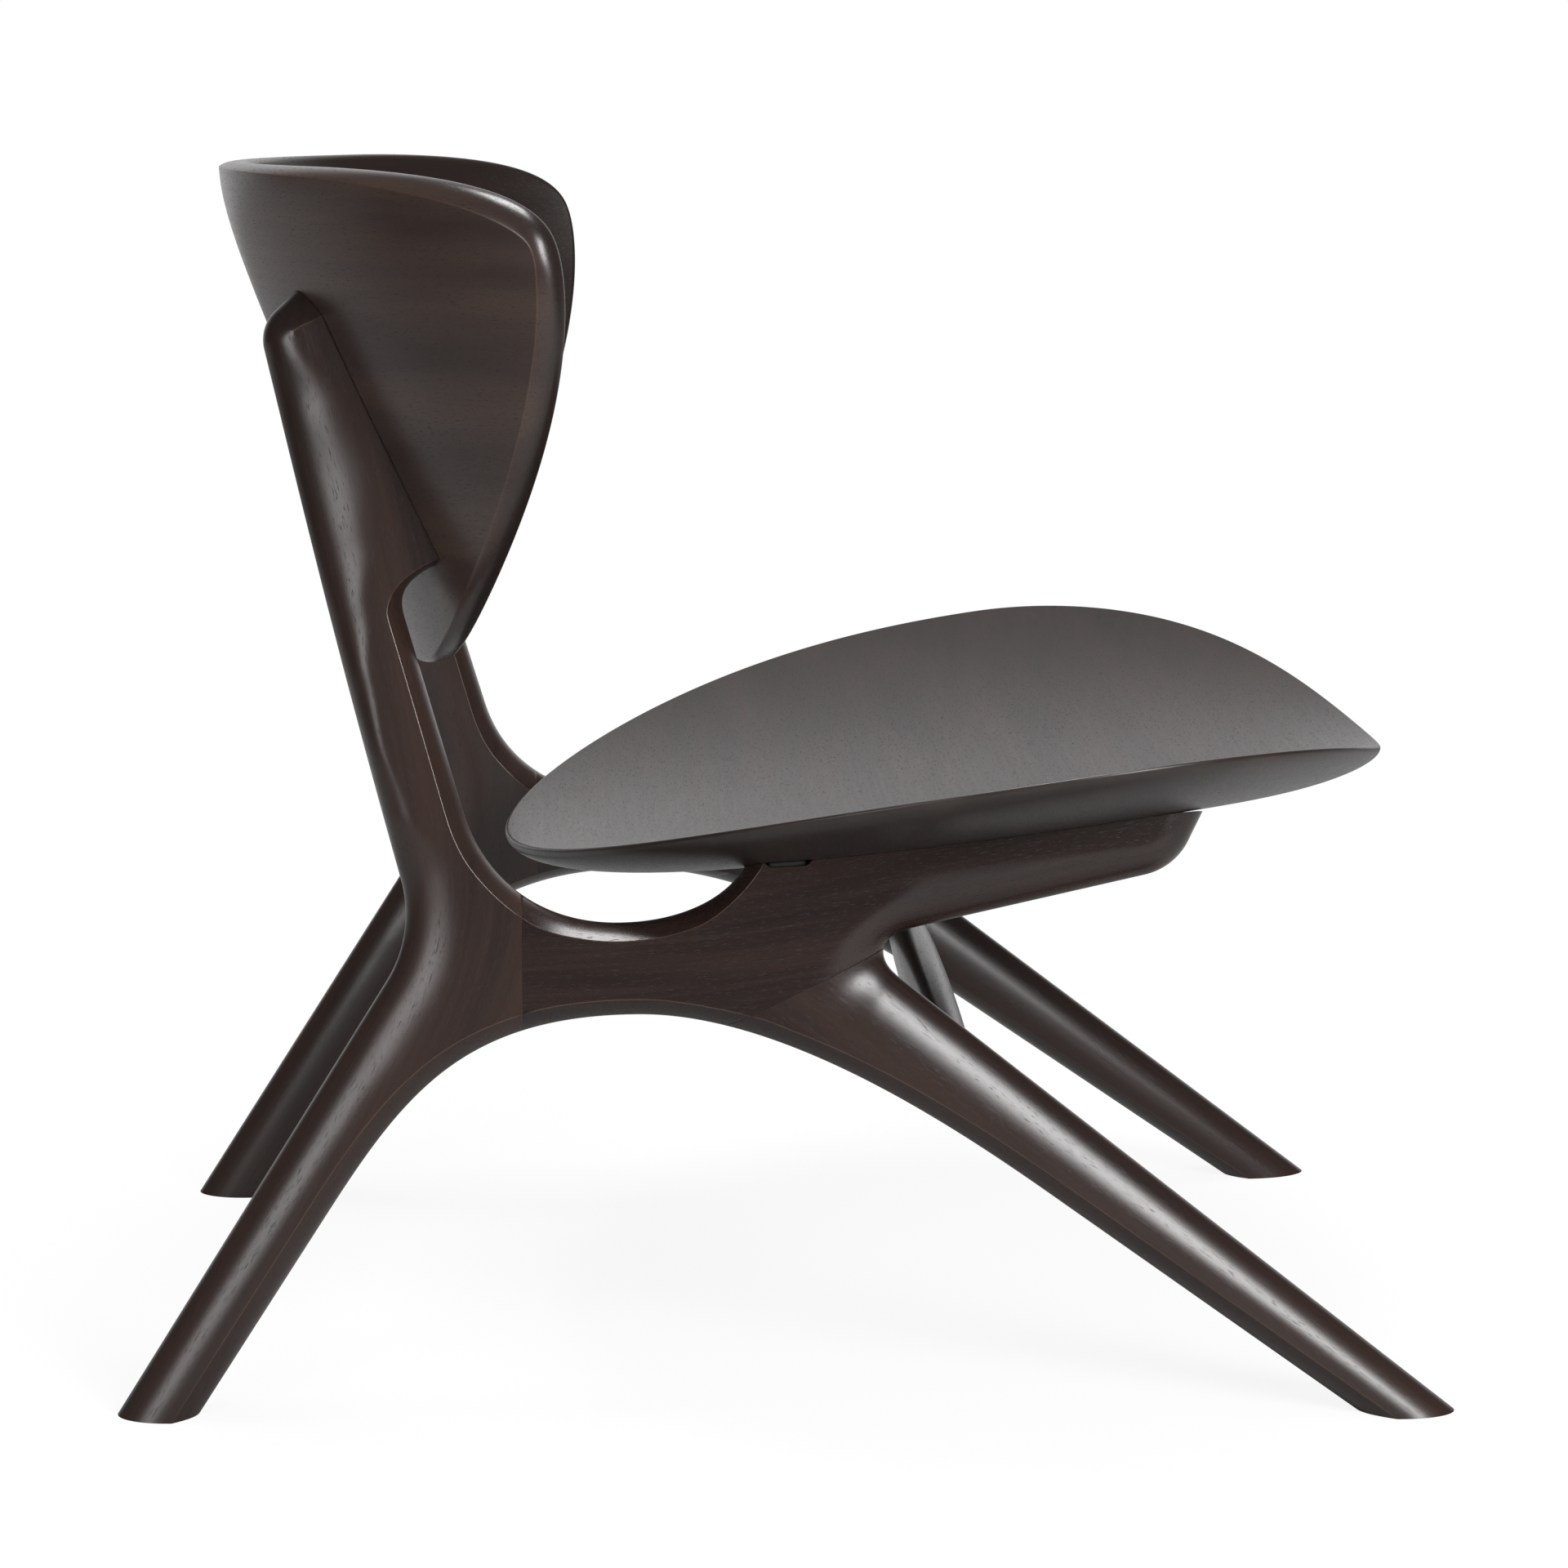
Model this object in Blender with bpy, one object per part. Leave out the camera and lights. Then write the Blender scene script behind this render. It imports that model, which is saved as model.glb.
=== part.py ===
"""Low lounge chair in dark-stained hardwood.

Two splayed side frames, each glued up from three shaped members, carry a dished seat shell and a
curved back shell. A spindle-shaped stretcher ties the front legs together.

The chair faces -Y, X runs across it and Z is up. The origin lies on the floor under its middle.
Each side frame is drawn flat in its own plane, x forward and y up, and then leaned into place.
"""

import bpy
import bmesh
from collections import namedtuple
from math import cos, hypot, pi, radians, sin, tan
from mathutils import Matrix, Vector

# Fits
CLEARANCE = 0.0004
MESH_MERGE = 0.00001
SLOPE_STEP = 0.0005

# Side frames: place of the drawing plane and section of the members
FRAME_SPREAD = 0.2426
FRAME_SPLAY = radians(6.23)
FRAME_TOE = radians(1.72)
FRAME_THICKNESS = 0.038
FOOT_ALLOWANCE = 0.012
ARRIS_BAND = 0.010
ROUND_SHARE = 0.6
BAND_SHARE = 0.3
SECTION_STEPS = 4
ARM_TOP_STEPS = 14
CONTACT_STEPS = 8

# Rear upright
REAR_HEEL_X = -0.3694
REAR_FOOT_LENGTH = 0.045
REAR_LEG_RAKE = radians(32.2)
REAR_LEG_FLARE = radians(0.75)
REAR_LEG_ROUND = 0.0225
CROTCH_HEIGHT = 0.265
CROTCH_RADIUS = 0.070
CROTCH_ROUND = 0.028
POST_LEAN = radians(13.84)
POST_ROOT_HEIGHT = 0.333
POST_ROOT_WIDTH = 0.0435
POST_NECK_HEIGHT = 0.432
POST_NECK_WIDTH = 0.039
POST_TIP_HEIGHT = 0.6162
POST_TOP_SLOPE = radians(44.0)
POST_TOP_RADIUS = 0.022
POST_TOP_ROUND = 0.018
POST_TOP_BAND = 0.015
SHELF_HEIGHT = 0.462
SHELF_RADIUS = 0.014
SHELF_FILLET_SHARE = 0.8
SHELF_BAND = 0.003

# Arch under the frame and eye above the beam
ARCH_X = -0.080
ARCH_HEIGHT = 0.2205
ARCH_REAR_SPRING = 0.110
ARCH_FRONT_SPRING = 0.120
ARCH_REAR_PULLS = (0.39, 0.47)
ARCH_FRONT_PULLS = (0.32, 0.27)
EYE_X = -0.092
EYE_HEIGHT = 0.271
EYE_REAR_PULLS = (0.39, 0.393)
EYE_FRONT_PULLS = (0.477, 0.248)
EYE_END_RISE = radians(60.1)

# Seat arm
ARM_REAR_X = -0.022
ARM_TIP_X = 0.2283
ARM_UNDERSIDE_HEIGHT = 0.2517
ARM_UNDERSIDE_RISE = radians(12.6)
ARM_NOSE_RAKE = radians(24.4)
ARM_NOSE_RADIUS = 0.035
ARM_ROUND = 0.018
NOTCH_RADIUS = 0.013
NOTCH_ROUND = 0.024

# Front leg
FRONT_TOE_X = 0.3673
FRONT_FOOT_LENGTH = 0.0538
FRONT_LEG_RAKE = radians(51.74)
FRONT_LEG_FLARE = radians(2.77)
FRONT_LEG_ROUND = 0.018

# Glued joints of the side frame
REAR_JOINT_X = -0.143
FRONT_JOINT_X = -0.033
JOINT_DOWEL_RADIUS = 0.005
JOINT_DOWEL_DEPTH = 0.022
REAR_JOINT_DOWEL_PITCH = 0.030
FRONT_JOINT_DOWEL_PITCH = 0.026
FRONT_JOINT_DOWEL_EDGE = 0.018

# Seat shell
SEAT_HALF_WIDTH = 0.341
SEAT_WIDEST = 0.1504
SEAT_REAR_REACH = 0.3083
SEAT_FRONT_REACH = 0.2068
SEAT_REAR_HEIGHT = 0.2864
SEAT_RISE = 0.0545
SEAT_SAG = 0.0035
SEAT_WING_LIFT = 0.053
SEAT_FRONT_LIFT = 0.0394
SEAT_FRONT_POWER = 6
SEAT_THICKNESS = 0.0185
SEAT_RIM_THICKNESS = 0.006
SEAT_RIM_EASE = 0.0015

# Back shell
BACK_HALF_WIDTH = 0.338
BACK_DEPTH = 0.226
BACK_BOW_POWER = 0.65
BACK_REAR = 0.3178
BACK_TOP_HEIGHT = 0.679
BACK_WING_HEIGHT = 0.634
BACK_BOTTOM_HEIGHT = 0.398
BACK_RECLINE = radians(22.8)
BACK_CREST = 0.0387
BACK_WRAP = radians(75.7)
BACK_CROWN_SHARE = 0.50
BACK_CROWN_PULLS = (0.078, 0.941)
BACK_TONGUE_SHARE = 0.25
BACK_TONGUE_PULLS = (0.213, 0.137)
BACK_THICKNESS = 0.016
BACK_MIDDLE_BAND = 0.003
BACK_WING_BAND = 0.015

# Front stretcher, a spindle that swells towards its middle
STRETCHER_X = 0.095
STRETCHER_HEIGHT = 0.184
STRETCHER_END_WIDTH = 0.021
STRETCHER_END_DEPTH = 0.033
STRETCHER_MIDDLE_WIDTH = 0.027
STRETCHER_MIDDLE_DEPTH = 0.040
STRETCHER_DOWEL_RADIUS = 0.004
STRETCHER_DOWEL_PITCH = 0.016
STRETCHER_DOWEL_DEPTH = 0.020

# Seat fixings
PAD_LENGTH = 0.022
PAD_WIDTH = 0.030
PAD_THICKNESS = 0.0024
RECESS_OVERRUN = 0.006
REAR_FIXING_X = 0.001
FRONT_FIXING_X = 0.150
SEAT_DOWEL_RADIUS = 0.004
SEAT_DOWEL_DEPTH = 0.025
SEAT_BITE = 0.010
SCREW_RADIUS = 0.0025
SCREW_HEAD_RADIUS = 0.0048
SCREW_HEAD_THICKNESS = 0.003
SCREW_COUNTERBORE = 0.012

# Back fixings
BACK_DOWEL_RADIUS = 0.004
BACK_DOWEL_DEPTH = 0.024
BACK_BITE = 0.009
BACK_DOWEL_LOW = 0.500
BACK_DOWEL_HIGH = 0.565

# Fineness of the curves
DOWEL_CHAMFER_SHARE = 0.25
DOWEL_SIDES = 10
STRETCHER_SIDES = 16
STRETCHER_BAYS = 8
SEAT_RIM_POINTS = 48
SEAT_TOP_RINGS = (0.3, 0.55, 0.75, 0.9, 1.0)
SEAT_UNDER_RINGS = (0.9, 0.8, 0.7, 0.6, 0.5, 0.25)
BACK_RIM_POINTS = 64
BACK_OUTER_RINGS = (0.3, 0.55, 0.8, 1.0)
BACK_INNER_RINGS = (0.8, 0.55, 0.3)

# Finishes
STAINED_WOOD = (0.030, 0.021, 0.018)
DOWEL_WOOD = (0.42, 0.29, 0.17)
PAD_BLACK = (0.012, 0.012, 0.012)
SCREW_STEEL = (0.55, 0.55, 0.56)
STAIN_ROUGHNESS = 0.38
DOWEL_ROUGHNESS = 0.6
PAD_ROUGHNESS = 0.7
SCREW_ROUGHNESS = 0.3
SHARP_ANGLE = radians(35.0)

ROUND = "round"
BEVEL = "bevel"
PLAIN = "plain"
SIDES = {"right": 1, "left": -1}

Edge = namedtuple("Edge", "points kind inset_start inset_end scribe", defaults=(0.0, 0.0, None))


def clear_scene():
    for old in list(bpy.data.objects):
        bpy.data.objects.remove(old, do_unlink=True)


def finish(name, colour, roughness, metallic=0.0):
    """A plain Principled finish."""
    material = bpy.data.materials.new(name)
    material.use_nodes = True
    shader = material.node_tree.nodes["Principled BSDF"]
    shader.inputs["Base Color"].default_value = (*colour, 1.0)
    shader.inputs["Roughness"].default_value = roughness
    shader.inputs["Metallic"].default_value = metallic
    return material


def wood(name):
    return finish(name + "_stain", STAINED_WOOD, STAIN_ROUGHNESS)


def flat_triangles(bm):
    """Split every face into triangles, which needs the faces' normals first."""
    bm.normal_update()
    bmesh.ops.triangulate(bm, faces=bm.faces)
    return bm


def add_object(name, bm, material=None, parent=None):
    """Turn a bmesh into a named, smooth-shaded object of flat triangles."""
    bmesh.ops.remove_doubles(bm, verts=bm.verts, dist=MESH_MERGE)
    flat_triangles(bm)
    bmesh.ops.recalc_face_normals(bm, faces=bm.faces)
    mesh = bpy.data.meshes.new(name)
    bm.to_mesh(mesh)
    bm.free()
    mesh.shade_smooth()
    mesh.set_sharp_from_angle(angle=SHARP_ANGLE)
    piece = bpy.data.objects.new(name, mesh)
    bpy.context.scene.collection.objects.link(piece)
    piece.parent = parent
    if material:
        mesh.materials.append(material)
    return piece


def add_cutter(name, bm, parent=None):
    """A helper solid that only cuts other pieces."""
    cutter = add_object(name, bm, parent=parent)
    cutter.hide_render = True
    cutter.display_type = "WIRE"
    return cutter


def cut(piece, cutter):
    """Take the cutter's space out of the piece."""
    boolean = piece.modifiers.new(cutter.name, "BOOLEAN")
    boolean.operation = "DIFFERENCE"
    boolean.solver = "EXACT"
    boolean.object = cutter


def frame_matrix(side):
    """Place of a side frame's drawing plane: x forward, y up, z towards -X."""
    stand = Matrix(((0, 0, -1), (-1, 0, 0), (0, 1, 0))).to_4x4()
    splay = Matrix.Rotation(-side * FRAME_SPLAY, 4, "X")
    toe = Matrix.Rotation(-side * FRAME_TOE, 4, "Y")
    return Matrix.Translation((-side * FRAME_SPREAD, 0, 0)) @ stand @ splay @ toe


def seat_radius(forward, across):
    """Share of the way from the seat's widest middle to its oval rim."""
    reach = SEAT_FRONT_REACH if forward > SEAT_WIDEST else SEAT_REAR_REACH
    return hypot((forward - SEAT_WIDEST) / reach, across / SEAT_HALF_WIDTH)


def seat_top(forward, across):
    """Height of the seat's upper face: a slack chord from rear to front, with raised wings."""
    along = (forward - SEAT_WIDEST + SEAT_REAR_REACH) / (SEAT_REAR_REACH + SEAT_FRONT_REACH)
    chord = SEAT_REAR_HEIGHT + SEAT_RISE * along - 4 * SEAT_SAG * along * (1 - along)
    lift = SEAT_WING_LIFT + SEAT_FRONT_LIFT * max(along, 0) ** SEAT_FRONT_POWER
    return chord + lift * (across / SEAT_HALF_WIDTH) ** 2


def seat_depth(radius):
    """Thickness of the seat: full under the middle, thinning over the outer half to the rim."""
    inward = min(2 * (1 - radius), 1.0)
    return SEAT_RIM_THICKNESS + (SEAT_THICKNESS - SEAT_RIM_THICKNESS) * (1 - (1 - inward) ** 2)


def seat_bottom(forward, across):
    return seat_top(forward, across) - seat_depth(seat_radius(forward, across))


def back_rear_face(across, height):
    """How far forward the back shell's rear face lies.

    Upright at its crest, the face turns to a steady recline below, and bows forward to its wings.
    """
    below = BACK_TOP_HEIGHT - height
    lean = tan(BACK_RECLINE) * (hypot(below, BACK_CREST) - BACK_CREST)
    bow = BACK_DEPTH * (1 - (1 - (across / BACK_HALF_WIDTH) ** 2) ** BACK_BOW_POWER)
    return lean + bow - BACK_REAR


def scribe_to_seat(frame, x, z):
    """Height in the frame's plane at which an arm just clears the seat's underside."""
    y = SEAT_REAR_HEIGHT
    for _ in range(8):
        place = frame @ Vector((x, y, z))
        y += seat_bottom(-place.y, place.x) - CLEARANCE - place.z
    return y


def scribe_to_back(frame, y, z):
    """Forward reach in the frame's plane at which a post just clears the back shell."""
    x = -BACK_REAR
    for _ in range(8):
        place = frame @ Vector((x, y, z))
        x += back_rear_face(place.x, place.z) - CLEARANCE + place.y
    return x


def bezier(start, start_way, end, end_way, pulls, steps):
    """Cubic curve with a way and a pull at each end; the pulls are shares of the span."""
    span = (end - start).length
    near = start + start_way.normalized() * pulls[0] * span
    far = end - end_way.normalized() * pulls[1] * span
    points = []
    for i in range(steps + 1):
        t = i / steps
        r = 1 - t
        points.append(r ** 3 * start + 3 * r * r * t * near + 3 * r * t * t * far + t ** 3 * end)
    return points


def fillet(corner, way_in, way_out, radius, steps):
    """Arc that rounds a corner met along way_in and left along way_out."""
    way_in = way_in.normalized()
    way_out = way_out.normalized()
    turn = way_in.angle_signed(way_out)
    setback = radius * tan(abs(turn) / 2)
    start = corner - way_in * setback
    side = Vector((-way_in.y, way_in.x)) * (-1 if turn > 0 else 1)
    centre = start + side * radius
    spoke = start - centre
    return [centre + Matrix.Rotation(-turn * i / steps, 2) @ spoke for i in range(steps + 1)]


def crossing(start_a, way_a, start_b, way_b):
    """Point where two lines of the drawing cross."""
    gap = start_b - start_a
    share = (gap.x * way_b.y - gap.y * way_b.x) / (way_a.x * way_b.y - way_a.y * way_b.x)
    return start_a + way_a * share


def evenly_between(start, end, steps):
    return [start.lerp(end, i / steps) for i in range(steps + 1)]


def trim(points, low_x, high_x):
    """Part of a curve that runs forward, between two places along x.

    Points within a bevel's width of the ends go, so that the bevel can't fold there.
    """

    def at(x):
        for a, b in zip(points, points[1:]):
            if a.x <= x <= b.x:
                return a.lerp(b, (x - a.x) / (b.x - a.x))
        return points[0] if x < points[0].x else points[-1]

    inner = [p for p in points if low_x + ARRIS_BAND < p.x < high_x - ARRIS_BAND]
    return [at(low_x)] + inner + [at(high_x)]


def section_share(kind, angle):
    """Share of the inset at an angle of the section: an elliptic round, or a bowed bevel."""
    if kind == ROUND:
        return 1 - cos(angle)
    return sin(angle) ** 2


def loft(edges, grow=0.0):
    """Solid member from its outline in the drawing plane.

    The outline runs counter-clockwise. It is drawn in from the middle plane towards both faces, by
    an elliptic round or a bowed bevel on shaped edges and not at all on plain ones. A plain edge
    may be scribed to the shell that it carries.
    """
    corners = []
    sides = []
    runs = []
    for edge in edges:
        steps = len(edge.points) - 1
        if edge.kind == PLAIN:
            runs.append((len(corners), steps, edge.scribe))
        for i in range(steps):
            corners.append(edge.points[i])
            slope = (edge.inset_end - edge.inset_start) / steps
            sides.append((edge.kind, edge.inset_start + slope * i, edge.inset_start + slope * (i + 1)))
    count = len(corners)
    shifts = []
    for i in range(count):
        back = (corners[i] - corners[i - 1]).normalized()
        ahead = (corners[(i + 1) % count] - corners[i]).normalized()
        normal_back = Vector((-back.y, back.x))
        normal_ahead = Vector((-ahead.y, ahead.x))
        kind_back, _, inset_back = sides[i - 1]
        kind_ahead, inset_ahead, _ = sides[i]
        mitre = normal_back + normal_ahead
        mitre = mitre * (2 / mitre.length_squared)
        if kind_back == PLAIN and kind_ahead == PLAIN:
            shift = Vector((0, 0))
        elif kind_back == PLAIN:
            shift = back * (inset_ahead / back.dot(normal_ahead))
        elif kind_ahead == PLAIN:
            shift = ahead * (inset_back / ahead.dot(normal_back))
        else:
            shift = mitre * (inset_back + inset_ahead) / 2
        kind = kind_ahead if kind_back == PLAIN else kind_back
        shifts.append((shift, kind, mitre * grow))

    bm = bmesh.new()
    rings = []
    half = FRAME_THICKNESS / 2 + grow
    for step in range(-SECTION_STEPS, SECTION_STEPS + 1):
        angle = step / SECTION_STEPS * pi / 2
        z = half * sin(angle)
        ring = []
        for corner, (shift, kind, swell) in zip(corners, shifts):
            ring.append(corner + shift * section_share(kind, angle) - swell)
        for first, steps, scribe in runs:
            last = (first + steps) % count
            start = ring[first].copy()
            end = ring[last].copy()
            for i in range(steps + 1):
                point = start.lerp(end, i / steps)
                ring[(first + i) % count] = scribe(point, z) if scribe else point
        rings.append([bm.verts.new((p.x, p.y, z)) for p in ring])
    for low, high in zip(rings, rings[1:]):
        for i in range(count):
            j = (i + 1) % count
            bm.faces.new((low[i], low[j], high[j], high[i]))
    bm.faces.new(rings[0][::-1])
    bm.faces.new(rings[-1])
    return flat_triangles(bm)


def saw(bm, place, normal):
    """Saw a solid along a plane, drop what lies beyond it and close the cut."""
    everything = bm.verts[:] + bm.edges[:] + bm.faces[:]
    bmesh.ops.bisect_plane(bm, geom=everything, dist=MESH_MERGE, plane_co=place, plane_no=normal,
                           clear_outer=True)
    rim = [edge for edge in bm.edges if edge.is_boundary]
    bmesh.ops.edgeloop_fill(bm, edges=rim)
    return flat_triangles(bm)


def saw_at_floor(bm, frame):
    to_plane = frame.inverted()
    return saw(bm, to_plane @ Vector((0, 0, 0)), to_plane.to_3x3() @ Vector((0, 0, -1)))


def turned(profile, start, way, sides=DOWEL_SIDES):
    """Round solid: (radius, distance) points turned about an axis, closed at radius 0."""
    bm = bmesh.new()
    rings = []
    for radius, distance in profile:
        if radius == 0:
            rings.append([bm.verts.new((0, 0, distance))])
            continue
        ring = []
        for i in range(sides):
            angle = 2 * pi * i / sides
            ring.append(bm.verts.new((radius * cos(angle), radius * sin(angle), distance)))
        rings.append(ring)
    for low, high in zip(rings, rings[1:]):
        for i in range(sides):
            j = (i + 1) % sides
            if len(low) == 1:
                bm.faces.new((low[0], high[j], high[i]))
            elif len(high) == 1:
                bm.faces.new((low[i], low[j], high[0]))
            else:
                bm.faces.new((low[i], low[j], high[j], high[i]))
    turn = Vector((0, 0, 1)).rotation_difference(way).to_matrix().to_4x4()
    bmesh.ops.transform(bm, matrix=Matrix.Translation(start) @ turn, verts=bm.verts)
    return bm


def rod_profile(length, radius, chamfer=0.0):
    """Plain or chamfered cylinder, from its start at 0 to its length."""
    if chamfer == 0:
        return [(0, 0), (radius, 0), (radius, length), (0, length)]
    return [(0, 0), (radius - chamfer, 0), (radius, chamfer), (radius, length - chamfer),
            (radius - chamfer, length), (0, length)]


def dowel(name, start, way, length, radius, hosts):
    """Fluteless dowel in a bore that is drilled into each of its hosts."""
    way = way.normalized()
    bm = turned(rod_profile(length, radius, radius * DOWEL_CHAMFER_SHARE), start, way)
    piece = add_object(name, bm, finish(name + "_beech", DOWEL_WOOD, DOWEL_ROUGHNESS))
    bore = turned(rod_profile(length + 2 * CLEARANCE, radius + CLEARANCE), start - way * CLEARANCE, way)
    cutter = add_cutter(name + "_bore", bore)
    for host in hosts:
        cut(host, cutter)
    return piece


def evenly(outline, count):
    """Points an equal distance apart along a closed outline."""
    walked = [0.0]
    for a, b in zip(outline, outline[1:] + outline[:1]):
        walked.append(walked[-1] + (b - a).length)
    points = []
    k = 0
    for i in range(count):
        goal = walked[-1] * i / count
        while walked[k + 1] <= goal:
            k += 1
        share = (goal - walked[k]) / (walked[k + 1] - walked[k])
        points.append(outline[k].lerp(outline[(k + 1) % len(outline)], share))
    return points


def drawn_in(rim, band):
    """Outline drawn in from a counter-clockwise rim, square to it, by a width at each place."""
    points = []
    for before, here, after in zip(rim[-1:] + rim[:-1], rim, rim[1:] + rim[:1]):
        along = (after - before).normalized()
        points.append(here + Vector((-along.y, along.x)) * band(here))
    return points


def shell_between(first, rings, last):
    """Closed shell from the middle of one face over its rings to the middle of the other face."""
    bm = bmesh.new()
    first = bm.verts.new(first)
    last = bm.verts.new(last)
    rings = [[bm.verts.new(point) for point in ring] for ring in rings]
    count = len(rings[0])
    for low, high in zip(rings, rings[1:]):
        for i in range(count):
            j = (i + 1) % count
            bm.faces.new((low[i], low[j], high[j], high[i]))
    for i in range(count):
        j = (i + 1) % count
        bm.faces.new((first, rings[0][j], rings[0][i]))
        bm.faces.new((last, rings[-1][i], rings[-1][j]))
    return bm


def seat_shell():
    """Dished oval shell with raised wings and a thin, eased rim."""
    centre = Vector((SEAT_WIDEST, 0))
    outline = []
    for i in range(360):
        angle = radians(i)
        reach = SEAT_FRONT_REACH if cos(angle) > 0 else SEAT_REAR_REACH
        outline.append(centre + Vector((reach * cos(angle), SEAT_HALF_WIDTH * sin(angle))))
    rim = evenly(outline, SEAT_RIM_POINTS)
    arris = drawn_in(rim, lambda place: SEAT_RIM_EASE)

    def at(point, depth):
        return Vector((point.y, -point.x, seat_top(point.x, point.y) - depth))

    def ring(outline, share, depth):
        return [at(centre.lerp(point, share), depth) for point in outline]

    rings = [ring(arris, share, 0) for share in SEAT_TOP_RINGS]
    rings += [ring(rim, 1, SEAT_RIM_EASE), ring(rim, 1, SEAT_RIM_THICKNESS - SEAT_RIM_EASE)]
    rings += [ring(arris, 1, SEAT_RIM_THICKNESS)]
    rings += [ring(rim, share, seat_depth(share)) for share in SEAT_UNDER_RINGS]
    bm = shell_between(at(centre, 0), rings, at(centre, SEAT_THICKNESS))
    return add_object("seat_shell", bm, wood("seat_shell"))


def back_outline():
    """Rim of the back shell, rolled out flat: a straight crown, drooping wings and a tongue."""
    across = Vector((1, 0))
    up = Vector((0, 1))
    wing = Vector((BACK_WRAP * BACK_HALF_WIDTH, BACK_WING_HEIGHT))
    crown = Vector((wing.x * BACK_CROWN_SHARE, BACK_TOP_HEIGHT))
    tongue = Vector((wing.x * BACK_TONGUE_SHARE, BACK_BOTTOM_HEIGHT))
    half = bezier(tongue, across, wing, up, BACK_TONGUE_PULLS, 40)
    half += bezier(wing, up, crown, -across, BACK_CROWN_PULLS, 40)[1:]
    return half + [Vector((-point.x, point.y)) for point in reversed(half)]


def back_shell():
    """Shield-shaped shell, bent round the sitter, with a rim that is rounded most on its wings."""
    centre = Vector((0, (BACK_TOP_HEIGHT + BACK_BOTTOM_HEIGHT) / 2))
    wing = BACK_WRAP * BACK_HALF_WIDTH

    def band(place):
        return BACK_MIDDLE_BAND + (BACK_WING_BAND - BACK_MIDDLE_BAND) * (place.x / wing) ** 2

    def at(point, depth):
        across = BACK_HALF_WIDTH * sin(point.x / BACK_HALF_WIDTH)
        forward = back_rear_face(across, point.y)
        slope_x = (back_rear_face(across + SLOPE_STEP, point.y) - forward) / SLOPE_STEP
        slope_z = (back_rear_face(across, point.y + SLOPE_STEP) - forward) / SLOPE_STEP
        inward = Vector((-slope_x, -1, -slope_z)).normalized()
        return Vector((across, -forward, point.y)) + inward * depth

    rim = evenly(back_outline(), BACK_RIM_POINTS)
    outer_arris = drawn_in(rim, band)
    inner_arris = drawn_in(rim, lambda place: band(place) / 2)
    half = BACK_THICKNESS / 2
    rings = []
    for share in BACK_OUTER_RINGS:
        rings.append([at(centre.lerp(point, share), 0) for point in outer_arris])
    for angle in (pi / 6, pi / 3, pi / 2):
        depth = half * (1 - cos(angle))
        rings.append([at(a.lerp(b, sin(angle)), depth) for a, b in zip(outer_arris, rim)])
    for angle in (pi / 4, pi / 2):
        depth = half * (1 + sin(angle))
        rings.append([at(a.lerp(b, 1 - cos(angle)), depth) for a, b in zip(rim, inner_arris)])
    for share in BACK_INNER_RINGS:
        rings.append([at(centre.lerp(point, share), BACK_THICKNESS) for point in inner_arris])
    bm = shell_between(at(centre, 0), rings, at(centre, BACK_THICKNESS))
    return add_object("back_shell", bm, wood("back_shell"))


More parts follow.
